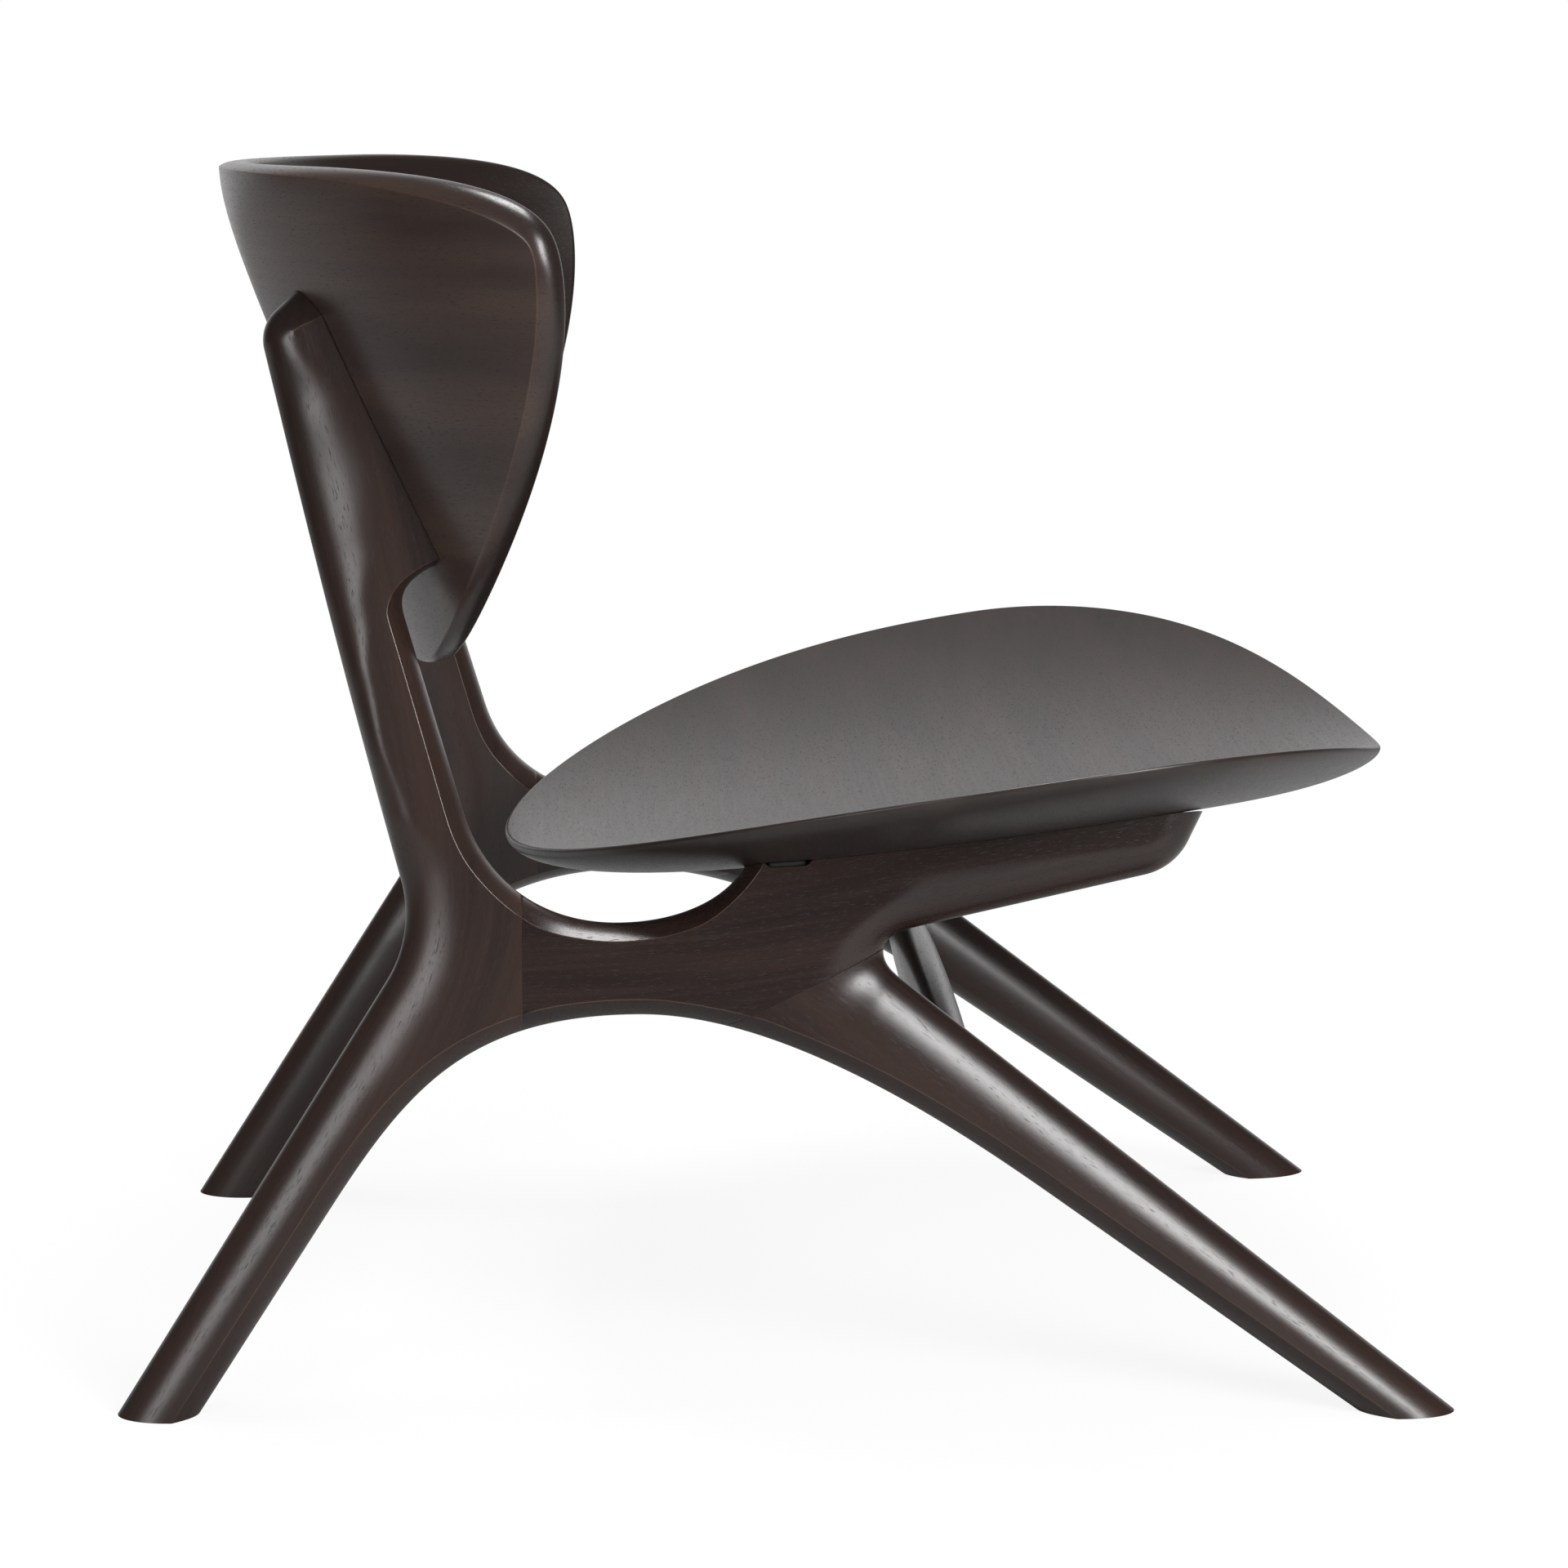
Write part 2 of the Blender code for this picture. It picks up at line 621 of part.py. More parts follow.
def frame_outline(frame):
    """Lines and curves of a side frame that its three members share."""
    forward = Vector((1, 0))
    lines = {}

    def along(start, way, height):
        return start + way * ((height - start.y) / way.y)

    heel = Vector((REAR_HEEL_X, 0))
    heel_way = Vector((sin(REAR_LEG_RAKE), cos(REAR_LEG_RAKE)))
    ball = heel + forward * REAR_FOOT_LENGTH
    ball_rake = REAR_LEG_RAKE + REAR_LEG_FLARE
    ball_way = Vector((sin(ball_rake), cos(ball_rake)))
    toe = Vector((FRONT_TOE_X, 0))
    toe_way = Vector((-sin(FRONT_LEG_RAKE), cos(FRONT_LEG_RAKE)))
    instep = toe - forward * FRONT_FOOT_LENGTH
    instep_rake = FRONT_LEG_RAKE + FRONT_LEG_FLARE
    instep_way = Vector((-sin(instep_rake), cos(instep_rake)))
    lines["heel"] = [along(heel, heel_way, -FOOT_ALLOWANCE)]
    lines["ball"] = [along(ball, ball_way, -FOOT_ALLOWANCE)]
    lines["instep"] = [along(instep, instep_way, -FOOT_ALLOWANCE)]
    lines["toe"] = [along(toe, toe_way, -FOOT_ALLOWANCE)]

    crotch = along(heel, heel_way, CROTCH_HEIGHT)
    post_way = Vector((-sin(POST_LEAN), cos(POST_LEAN)))
    lines["crotch"] = fillet(crotch, -post_way, -heel_way, CROTCH_RADIUS, 7)
    tip = Vector((scribe_to_back(frame, POST_TIP_HEIGHT, 0), POST_TIP_HEIGHT))
    top_way = Vector((-cos(POST_TOP_SLOPE), -sin(POST_TOP_SLOPE)))
    corner = crossing(tip, top_way, crotch, post_way)
    lines["post_tip"] = [tip]
    lines["post_top"] = fillet(corner, top_way, -post_way, POST_TOP_RADIUS, 5)

    crown = Vector((ARCH_X, ARCH_HEIGHT))
    spring = along(ball, ball_way, ARCH_REAR_SPRING)
    lines["arch"] = bezier(spring, ball_way, crown, forward, ARCH_REAR_PULLS, 10)
    spring = along(instep, instep_way, ARCH_FRONT_SPRING)
    lines["arch"] += bezier(crown, forward, spring, -instep_way, ARCH_FRONT_PULLS, 10)[1:]

    root = along(crotch, post_way, POST_ROOT_HEIGHT) + forward * POST_ROOT_WIDTH
    neck = along(crotch, post_way, POST_NECK_HEIGHT) + forward * POST_NECK_WIDTH
    neck_way = neck - root
    base = Vector((EYE_X, EYE_HEIGHT))
    arm_rear = Vector((ARM_REAR_X, scribe_to_seat(frame, ARM_REAR_X, 0)))
    eye_end = Vector((cos(EYE_END_RISE), sin(EYE_END_RISE)))
    lines["eye"] = bezier(root, -neck_way, base, forward, EYE_REAR_PULLS, 7)
    lines["eye"] += bezier(base, forward, arm_rear, eye_end, EYE_FRONT_PULLS, 6)[1:]
    shelf_corner = along(neck, neck_way, SHELF_HEIGHT)
    half = FRAME_THICKNESS / 2
    shelf_end = min(scribe_to_back(frame, SHELF_HEIGHT + SHELF_BAND, z) for z in (-half, half))
    room = SHELF_FILLET_SHARE * (shelf_end - shelf_corner.x)
    radius = min(SHELF_RADIUS, room / tan(neck_way.angle(forward) / 2))
    lines["recess"] = fillet(shelf_corner, neck_way, forward, radius, 5)
    lines["shelf"] = [Vector((scribe_to_back(frame, SHELF_HEIGHT, 0), SHELF_HEIGHT))]

    under_start = Vector((0, ARM_UNDERSIDE_HEIGHT))
    under_way = Vector((cos(ARM_UNDERSIDE_RISE), sin(ARM_UNDERSIDE_RISE)))
    notch = crossing(toe, toe_way, under_start, under_way)
    lines["notch"] = fillet(notch, toe_way, under_way, NOTCH_RADIUS, 8)
    tip = Vector((ARM_TIP_X, scribe_to_seat(frame, ARM_TIP_X, 0)))
    nose_way = Vector((sin(ARM_NOSE_RAKE), cos(ARM_NOSE_RAKE)))
    nose = crossing(tip, nose_way, under_start, under_way)
    lines["nose"] = fillet(nose, under_way, nose_way, ARM_NOSE_RADIUS, 5)
    lines["tip"] = [tip]
    lines["arm_rear"] = [arm_rear]
    return lines


def joint_dowels(name, hosts, frame, middle, way, pitch_way, pitch):
    """Two dowels across a glued joint of a side frame."""
    turn = frame.to_3x3()
    for label, share in (("a", -0.5), ("b", 0.5)):
        place = middle + pitch_way * pitch * share
        start = place - way * JOINT_DOWEL_DEPTH
        dowel(name + "_" + label, frame @ start.to_3d(), turn @ way.to_3d(), 2 * JOINT_DOWEL_DEPTH,
              JOINT_DOWEL_RADIUS, hosts)


def side_frame(label, side):
    """Rear upright, side beam and front leg of one side, glued up on dowels."""
    frame = frame_matrix(side)
    plane = bpy.data.objects.new(label + "_frame_plane", None)
    bpy.context.scene.collection.objects.link(plane)
    plane.matrix_world = frame
    lines = frame_outline(frame)
    half_gap = CLEARANCE / 2

    def to_back(point, z):
        return Vector((scribe_to_back(frame, point.y, z), point.y))

    def to_seat(point, z):
        return Vector((point.x, scribe_to_seat(frame, point.x, z)))

    arch_rear = trim(lines["arch"], lines["arch"][0].x, REAR_JOINT_X - half_gap)
    eye_rear = trim(lines["eye"], lines["eye"][0].x, REAR_JOINT_X - half_gap)
    contact = evenly_between(lines["shelf"][0], lines["post_tip"][0], CONTACT_STEPS)
    crotch = lines["crotch"]
    wall = REAR_FOOT_LENGTH * cos(REAR_LEG_RAKE)
    foot_round = min(REAR_LEG_ROUND, ROUND_SHARE * wall)
    foot_band = min(ARRIS_BAND, BAND_SHARE * wall)
    top_round = min(POST_TOP_ROUND, POST_TOP_RADIUS)
    top_band = min(POST_TOP_BAND, POST_TOP_RADIUS)
    upright = [
        Edge(lines["heel"] + lines["ball"], PLAIN),
        Edge(lines["ball"] + arch_rear, BEVEL, foot_band, ARRIS_BAND),
        Edge([arch_rear[-1], eye_rear[-1]], PLAIN),
        Edge(eye_rear[::-1] + lines["recess"][:1], BEVEL, ARRIS_BAND, ARRIS_BAND),
        Edge(lines["recess"] + lines["shelf"], BEVEL, ARRIS_BAND, SHELF_BAND),
        Edge(contact, PLAIN, scribe=to_back),
        Edge(lines["post_tip"] + lines["post_top"], BEVEL, top_band, top_round),
        Edge(lines["post_top"][-1:] + crotch[:4], ROUND, top_round, CROTCH_ROUND),
        Edge(crotch[3:] + lines["heel"], ROUND, CROTCH_ROUND, foot_round),
    ]
    bm = saw_at_floor(loft(upright), frame)
    rear_upright = add_object(label + "_rear_upright", bm, wood(label + "_rear_upright"), plane)

    arch_middle = trim(lines["arch"], REAR_JOINT_X + half_gap, FRONT_JOINT_X - half_gap)
    eye_front = trim(lines["eye"], REAR_JOINT_X + half_gap, lines["eye"][-1].x)
    notch_low = lines["notch"][:5]
    notch_high = lines["notch"][4:]
    seam = (notch_low[-1] - arch_middle[-1]).normalized()
    lift = Vector((-seam.y, seam.x)) * half_gap
    arm_top = evenly_between(lines["tip"][0], lines["arm_rear"][0], ARM_TOP_STEPS)
    beam = [
        Edge(arch_middle[:-1] + [arch_middle[-1] + lift], BEVEL, ARRIS_BAND, ARRIS_BAND),
        Edge([arch_middle[-1] + lift, notch_high[0] + lift], PLAIN),
        Edge([notch_high[0] + lift] + notch_high[1:] + lines["nose"] + lines["tip"], ROUND,
             NOTCH_ROUND, ARM_ROUND),
        Edge(arm_top, PLAIN, scribe=to_seat),
        Edge(eye_front[::-1], BEVEL, ARRIS_BAND, ARRIS_BAND),
        Edge([eye_front[0], arch_middle[0]], PLAIN),
    ]
    side_beam = add_object(label + "_side_beam", loft(beam), wood(label + "_side_beam"), plane)

    arch_front = trim(lines["arch"], FRONT_JOINT_X - half_gap, lines["arch"][-1].x)
    wall = FRONT_FOOT_LENGTH * cos(FRONT_LEG_RAKE)
    foot_round = min(FRONT_LEG_ROUND, ROUND_SHARE * wall)
    foot_band = min(ARRIS_BAND, BAND_SHARE * wall)
    leg = [
        Edge([arch_front[0] - lift] + arch_front[1:] + lines["instep"], BEVEL, ARRIS_BAND, foot_band),
        Edge(lines["instep"] + lines["toe"], PLAIN),
        Edge(lines["toe"] + notch_low[:-1] + [notch_low[-1] - lift], ROUND, foot_round, NOTCH_ROUND),
        Edge([notch_low[-1] - lift, arch_front[0] - lift], PLAIN),
    ]
    bm = saw_at_floor(loft(leg), frame)
    front_leg = add_object(label + "_front_leg", bm, wood(label + "_front_leg"), plane)
    leg_space = add_cutter(label + "_front_leg_space", loft(leg, grow=CLEARANCE), plane)

    middle = (arch_rear[-1] + eye_rear[-1]) / 2
    joint_dowels(label + "_rear_joint_dowel", (rear_upright, side_beam), frame, middle, Vector((1, 0)),
                 Vector((0, 1)), REAR_JOINT_DOWEL_PITCH)
    middle = notch_low[-1] - seam * (NOTCH_ROUND + FRONT_JOINT_DOWEL_EDGE)
    joint_dowels(label + "_front_joint_dowel", (front_leg, side_beam), frame, middle, lift.normalized(),
                 seam, FRONT_JOINT_DOWEL_PITCH)
    return {"frame": frame, "rear_upright": rear_upright, "side_beam": side_beam,
            "front_leg": front_leg, "leg_space": leg_space}


def front_stretcher(frames):
    """Oval spindle between the front legs, coped over their inner faces and held by dowels."""
    ends = {}
    for label in SIDES:
        ends[label] = frames[label]["frame"] @ Vector((STRETCHER_X, STRETCHER_HEIGHT, 0))
    bm = bmesh.new()
    rings = []
    for bay in range(STRETCHER_BAYS + 1):
        share = bay / STRETCHER_BAYS
        swell = 4 * share * (1 - share)
        width = STRETCHER_END_WIDTH + (STRETCHER_MIDDLE_WIDTH - STRETCHER_END_WIDTH) * swell
        depth = STRETCHER_END_DEPTH + (STRETCHER_MIDDLE_DEPTH - STRETCHER_END_DEPTH) * swell
        centre = ends["right"].lerp(ends["left"], share)
        ring = []
        for i in range(STRETCHER_SIDES):
            angle = 2 * pi * i / STRETCHER_SIDES
            ring.append(bm.verts.new(centre + Vector((0, width / 2 * cos(angle), depth / 2 * sin(angle)))))
        rings.append(ring)
    for low, high in zip(rings, rings[1:]):
        for i in range(STRETCHER_SIDES):
            j = (i + 1) % STRETCHER_SIDES
            bm.faces.new((low[i], low[j], high[j], high[i]))
    bm.faces.new(rings[0][::-1])
    bm.faces.new(rings[-1])
    stretcher = add_object("front_stretcher", bm, wood("front_stretcher"))
    for label in SIDES:
        cut(stretcher, frames[label]["leg_space"])
    for label, side in SIDES.items():
        frame = frames[label]["frame"]
        inward = Vector((0, 0, -side))
        for end, share in (("a", -0.5), ("b", 0.5)):
            at = Vector((STRETCHER_X, STRETCHER_HEIGHT + STRETCHER_DOWEL_PITCH * share, 0))
            at += inward * (FRAME_THICKNESS / 2 - STRETCHER_DOWEL_DEPTH)
            dowel(label + "_stretcher_dowel_" + end, frame @ at, frame.to_3x3() @ inward,
                  2 * STRETCHER_DOWEL_DEPTH, STRETCHER_DOWEL_RADIUS, (frames[label]["front_leg"], stretcher))
    return stretcher


def pad_solid(frame, side, x, spare):
    """Packing pad on an arm, scribed to the seat, reaching from the outer face inwards."""
    bm = bmesh.new()
    overrun = RECESS_OVERRUN if spare else 0.0
    outer = FRAME_THICKNESS / 2 - CLEARANCE + overrun
    inner = FRAME_THICKNESS / 2 - PAD_WIDTH - spare
    steps = 4
    grid = []
    for level in (-PAD_THICKNESS - spare, overrun):
        rows = []
        for along in (x - PAD_LENGTH / 2 - spare, x + PAD_LENGTH / 2 + spare):
            row = []
            for i in range(steps + 1):
                z = side * (inner + (outer - inner) * i / steps)
                row.append(bm.verts.new((along, scribe_to_seat(frame, along, z) + level, z)))
            rows.append(row)
        grid.append(rows)
    (low_a, low_b), (high_a, high_b) = grid
    loops = [low_a[i:i + 1] + low_b[i:i + 1] + high_b[i:i + 1] + high_a[i:i + 1] for i in range(steps + 1)]
    for here, there in zip(loops, loops[1:]):
        for i in range(4):
            j = (i + 1) % 4
            bm.faces.new((here[i], here[j], there[j], there[i]))
    bm.faces.new(loops[0][::-1])
    bm.faces.new(loops[-1])
    return bm


def seat_fixings(label, side, parts, seat):
    """Packing pads let into the arms, a locating dowel at the rear and a screw at the front."""
    frame = parts["frame"]
    turn = frame.to_3x3()
    up = turn @ Vector((0, 1, 0))
    beam = parts["side_beam"]
    pads = {}
    for spot, x in (("rear", REAR_FIXING_X), ("front", FRONT_FIXING_X)):
        name = label + "_" + spot + "_seat_pad"
        rubber = finish(name + "_rubber", PAD_BLACK, PAD_ROUGHNESS)
        pad = add_object(name, pad_solid(frame, side, x, 0.0), rubber)
        pad.matrix_world = frame
        recess = add_cutter(name + "_recess", pad_solid(frame, side, x, CLEARANCE))
        recess.matrix_world = frame
        cut(beam, recess)
        pads[spot] = pad

    rear_y = scribe_to_seat(frame, REAR_FIXING_X, 0)
    start = frame @ Vector((REAR_FIXING_X, rear_y - SEAT_DOWEL_DEPTH, 0))
    dowel(label + "_seat_dowel", start, up, SEAT_DOWEL_DEPTH + SEAT_BITE, SEAT_DOWEL_RADIUS,
          (beam, seat, pads["rear"]))

    name = label + "_seat_screw"
    under_y = ARM_UNDERSIDE_HEIGHT + tan(ARM_UNDERSIDE_RISE) * FRONT_FIXING_X
    head_y = under_y + SCREW_COUNTERBORE
    tip_y = scribe_to_seat(frame, FRONT_FIXING_X, 0) + SEAT_BITE
    start = frame @ Vector((FRONT_FIXING_X, head_y, 0))
    length = tip_y - head_y
    profile = [(0, -SCREW_HEAD_THICKNESS), (SCREW_HEAD_RADIUS, -SCREW_HEAD_THICKNESS),
               (SCREW_HEAD_RADIUS, 0), (SCREW_RADIUS, 0), (SCREW_RADIUS, length - 2 * SCREW_RADIUS),
               (0, length)]
    steel = finish(name + "_steel", SCREW_STEEL, SCREW_ROUGHNESS, 1.0)
    add_object(name, turned(profile, start, up), steel)
    head_room = SCREW_HEAD_RADIUS + CLEARANCE
    shank_room = SCREW_RADIUS + CLEARANCE
    mouth = -SCREW_COUNTERBORE - RECESS_OVERRUN
    profile = [(0, mouth), (head_room, mouth),
               (head_room, CLEARANCE), (shank_room, CLEARANCE), (shank_room, length + CLEARANCE),
               (0, length + CLEARANCE)]
    bore = add_cutter(name + "_bore", turned(profile, start, up))
    for host in (beam, seat, pads["front"]):
        cut(host, bore)


def back_fixings(label, parts, back):
    """Two blind dowels from each post into the back shell, square to the line of contact."""
    frame = parts["frame"]
    low = Vector((scribe_to_back(frame, BACK_DOWEL_LOW, 0), BACK_DOWEL_LOW))
    high = Vector((scribe_to_back(frame, BACK_DOWEL_HIGH, 0), BACK_DOWEL_HIGH))
    along = (high - low).normalized()
    way = Vector((along.y, -along.x))
    for end, place in (("low", low), ("high", high)):
        start = (place - way * BACK_DOWEL_DEPTH).to_3d()
        dowel(label + "_back_dowel_" + end, frame @ start, frame.to_3x3() @ way.to_3d(),
              BACK_DOWEL_DEPTH + BACK_BITE, BACK_DOWEL_RADIUS, (parts["rear_upright"], back))


clear_scene()
seat = seat_shell()
back = back_shell()
frames = {label: side_frame(label, side) for label, side in SIDES.items()}
front_stretcher(frames)
for label, side in SIDES.items():
    seat_fixings(label, side, frames[label], seat)
    back_fixings(label, frames[label], back)
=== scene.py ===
from collections import namedtuple
from functools import partial
from math import cos, pi, radians, sin, tan

import bpy
import numpy as np
from mathutils import Matrix, Vector


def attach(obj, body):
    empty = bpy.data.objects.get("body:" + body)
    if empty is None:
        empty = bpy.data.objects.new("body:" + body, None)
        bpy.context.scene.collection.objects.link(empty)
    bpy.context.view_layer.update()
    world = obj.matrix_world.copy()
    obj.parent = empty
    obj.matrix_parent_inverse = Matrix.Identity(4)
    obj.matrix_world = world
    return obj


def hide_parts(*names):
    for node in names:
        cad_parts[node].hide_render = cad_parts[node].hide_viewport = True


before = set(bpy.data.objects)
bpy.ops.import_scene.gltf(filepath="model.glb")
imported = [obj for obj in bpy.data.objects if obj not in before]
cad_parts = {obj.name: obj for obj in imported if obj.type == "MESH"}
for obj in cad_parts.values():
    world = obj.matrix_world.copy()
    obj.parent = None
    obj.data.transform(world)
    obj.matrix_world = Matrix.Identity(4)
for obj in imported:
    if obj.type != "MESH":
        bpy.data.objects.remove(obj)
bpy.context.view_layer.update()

# Seat shell
# One dished oval shell, carved from mahogany boards glued edge to edge that run from side to side,
# then sanded, stained dark and varnished. It lies on the two seat arms.
SEAT_HALF_WIDTH = 0.341
SEAT_WIDEST = 0.1504
SEAT_REAR_REACH = 0.3083
SEAT_FRONT_REACH = 0.2068
SEAT_REAR_HEIGHT = 0.2864
SEAT_RISE = 0.0545
SEAT_SAG = 0.0035
SEAT_WING_LIFT = 0.053
SEAT_FRONT_LIFT = 0.0394
SEAT_FRONT_POWER = 6
SEAT_THICKNESS = 0.0173
SEAT_REAR_SWELL = 0.005
SEAT_ROLL = 0.29
SEAT_RIM_EASE = 0.0018
SEAT_TONES = ("#191412", "#1f1815", "#271d19")
SEAT_GLOSS = (0.32, 0.42)
FACE_START = 0.03
FACE_CLOSE = (0.96, 0.985, 0.997, 1.0)
SHARP_TURN = radians(60)
# The length along the grain, the width and the detail of each pattern. Real pores are 0.3 mm wide,
# too fine to show, and are drawn 0.7 by 5 mm.
WOOD_PATTERNS = {"band": (0.35, 0.030, 4), "streak": (0.09, 0.003, 3), "pore": (0.005, 0.0007, 1)}
SATIN_GLOSS = (0.25, 0.32)
PORE_ROUGHNESS = 0.25
STREAK_RELIEF = 0.3
STREAK_TONE = "#35251e"
PORE_TONE = "#0c0908"
WORN_TONE = "#57402f"
# Painted shade on the back shell: its rim and hollow are darkened by their depth below its outside
PAINTED_SHADE_TONE = "#150f0d"
PAINTED_SHADE_DEPTH = 0.006
PAINTED_SHADE_SHARE = 0.8


def seat_top(forward, across):
    """Height of the upper face: a slack chord from rear to front, with wings raised by the square."""
    along = (forward - SEAT_WIDEST + SEAT_REAR_REACH) / (SEAT_REAR_REACH + SEAT_FRONT_REACH)
    chord = SEAT_REAR_HEIGHT + SEAT_RISE * along - 4 * SEAT_SAG * along * (1 - along)
    lift = SEAT_WING_LIFT + SEAT_FRONT_LIFT * np.maximum(along, 0) ** SEAT_FRONT_POWER
    return chord + lift * (across / SEAT_HALF_WIDTH) ** 2


def seat_depth(forward, share):
    """Thickness: full under the middle, swelling by the square to the rear, rolled up to the rim.

    The roll is a quarter ellipse over the outer shares of the oval, down from the eased edge.
    """
    along = (forward - SEAT_WIDEST + SEAT_REAR_REACH) / (SEAT_REAR_REACH + SEAT_FRONT_REACH)
    full = SEAT_THICKNESS + SEAT_REAR_SWELL * (1 - along) ** 2
    roll = np.clip((1 - share) / SEAT_ROLL, 0, 1)
    return SEAT_RIM_EASE + (full - SEAT_RIM_EASE) * np.sqrt(1 - (1 - roll) ** 2)


def face_shares(steps):
    """Shares of the way from a face's middle to its rim, even at first and closer near the rim."""
    return np.concatenate((np.linspace(FACE_START, FACE_CLOSE[0], steps + 1), FACE_CLOSE[1:]))


def quarter_turn(steps):
    """Even angles over a quarter turn, without its start."""
    return np.linspace(0, pi / 2, steps + 1)[1:]


def seat_rings(around=320, face_steps=31, ease_steps=7, roll_steps=25, under_steps=21):
    """Rings of an oval of two half ellipses, from the middle of the top to that of the underside.

    Each ring is a share of the rim, drawn in by the eased edge, at a depth below the upper face.
    """
    turn = np.arange(around) * 2 * pi / around
    reach = np.where(np.cos(turn) > 0, SEAT_FRONT_REACH, SEAT_REAR_REACH)
    rim = reach * np.cos(turn) + 1j * SEAT_HALF_WIDTH * np.sin(turn)
    along = -reach * np.sin(turn) + 1j * SEAT_HALF_WIDTH * np.cos(turn)
    inward = 1j * along / np.abs(along)
    face = face_shares(face_steps)
    ease = quarter_turn(ease_steps)
    roll = 1 - SEAT_ROLL * (1 - np.cos(quarter_turn(roll_steps)))
    under = np.concatenate((roll, np.linspace(roll[-1], face[0], under_steps + 1)[1:]))
    share = np.concatenate((face, np.ones_like(ease), under))[:, None]
    inset = np.concatenate((np.ones_like(face), 1 - np.sin(ease), np.zeros_like(under)))[:, None]
    eased = np.concatenate((np.zeros_like(face), 1 - np.cos(ease), np.ones_like(under)))[:, None]
    plan = share * (rim + inward * SEAT_RIM_EASE * inset)
    forward = SEAT_WIDEST + plan.real
    rolled = np.where(eased < 1, 0, seat_depth(forward, share) - SEAT_RIM_EASE)
    height = seat_top(forward, plan.imag) - SEAT_RIM_EASE * eased - rolled
    return np.stack((plan.imag, -forward, height), axis=-1), np.zeros(plan.shape)


def skin(name, rings, arris, flat_ends=False):
    """Piece over a grid of points: rings in order, each closed on itself and joined to the next.

    The end rings are closed by a fan to their middle, or by one flat face. The arris value says
    how much each point belongs to a worn edge.
    """
    count, around = rings.shape[:2]
    grid = np.arange(count * around).reshape(count, around)
    beside = np.roll(grid, -1, axis=1)
    faces = np.stack((grid[:-1], grid[1:], beside[1:], beside[:-1]), axis=-1).reshape(-1, 4).tolist()
    points = rings.reshape(-1, 3)
    worn = arris.reshape(-1)
    if flat_ends:
        faces += [grid[0].tolist(), grid[-1, ::-1].tolist()]
    else:
        pole = count * around
        points = np.concatenate((points, [rings[0].mean(axis=0), rings[-1].mean(axis=0)]))
        worn = np.concatenate((worn, (0, 0)))
        faces += np.stack((np.full(around, pole), grid[0], beside[0]), axis=-1).tolist()
        faces += np.stack((np.full(around, pole + 1), beside[-1], grid[-1]), axis=-1).tolist()
    mesh = bpy.data.meshes.new(name)
    mesh.from_pydata(points.tolist(), [], faces)
    mesh.attributes.new("arris", "FLOAT", "POINT").data.foreach_set("value", worn)
    mesh.shade_smooth()
    mesh.set_sharp_from_angle(angle=SHARP_TURN)
    piece = bpy.data.objects.new(name, mesh)
    bpy.context.scene.collection.objects.link(piece)
    return piece


def linear(colour):
    """Linear RGBA of an sRGB hex value."""
    srgb = np.array([int(colour[i:i + 2], 16) for i in (1, 3, 5)]) / 255
    rgb = np.where(srgb <= 0.04045, srgb / 12.92, ((srgb + 0.055) / 1.055) ** 2.4)
    return (*rgb.tolist(), 1.0)


def add_node(tree, kind, inputs, stops=(), **settings):
    """Node with its settings; an input is given a value or the output of another node."""
    node = tree.nodes.new("ShaderNode" + kind)
    for setting, value in settings.items():
        setattr(node, setting, value)
    for socket, value in inputs.items():
        if isinstance(value, bpy.types.NodeSocket):
            tree.links.new(value, node.inputs[socket])
        else:
            node.inputs[socket].default_value = value
    for i, (place, colour) in enumerate(stops):
        ramp = node.color_ramp.elements
        element = ramp[i] if i < 2 else ramp.new(place)
        element.position = place
        element.color = linear(colour)
    return node


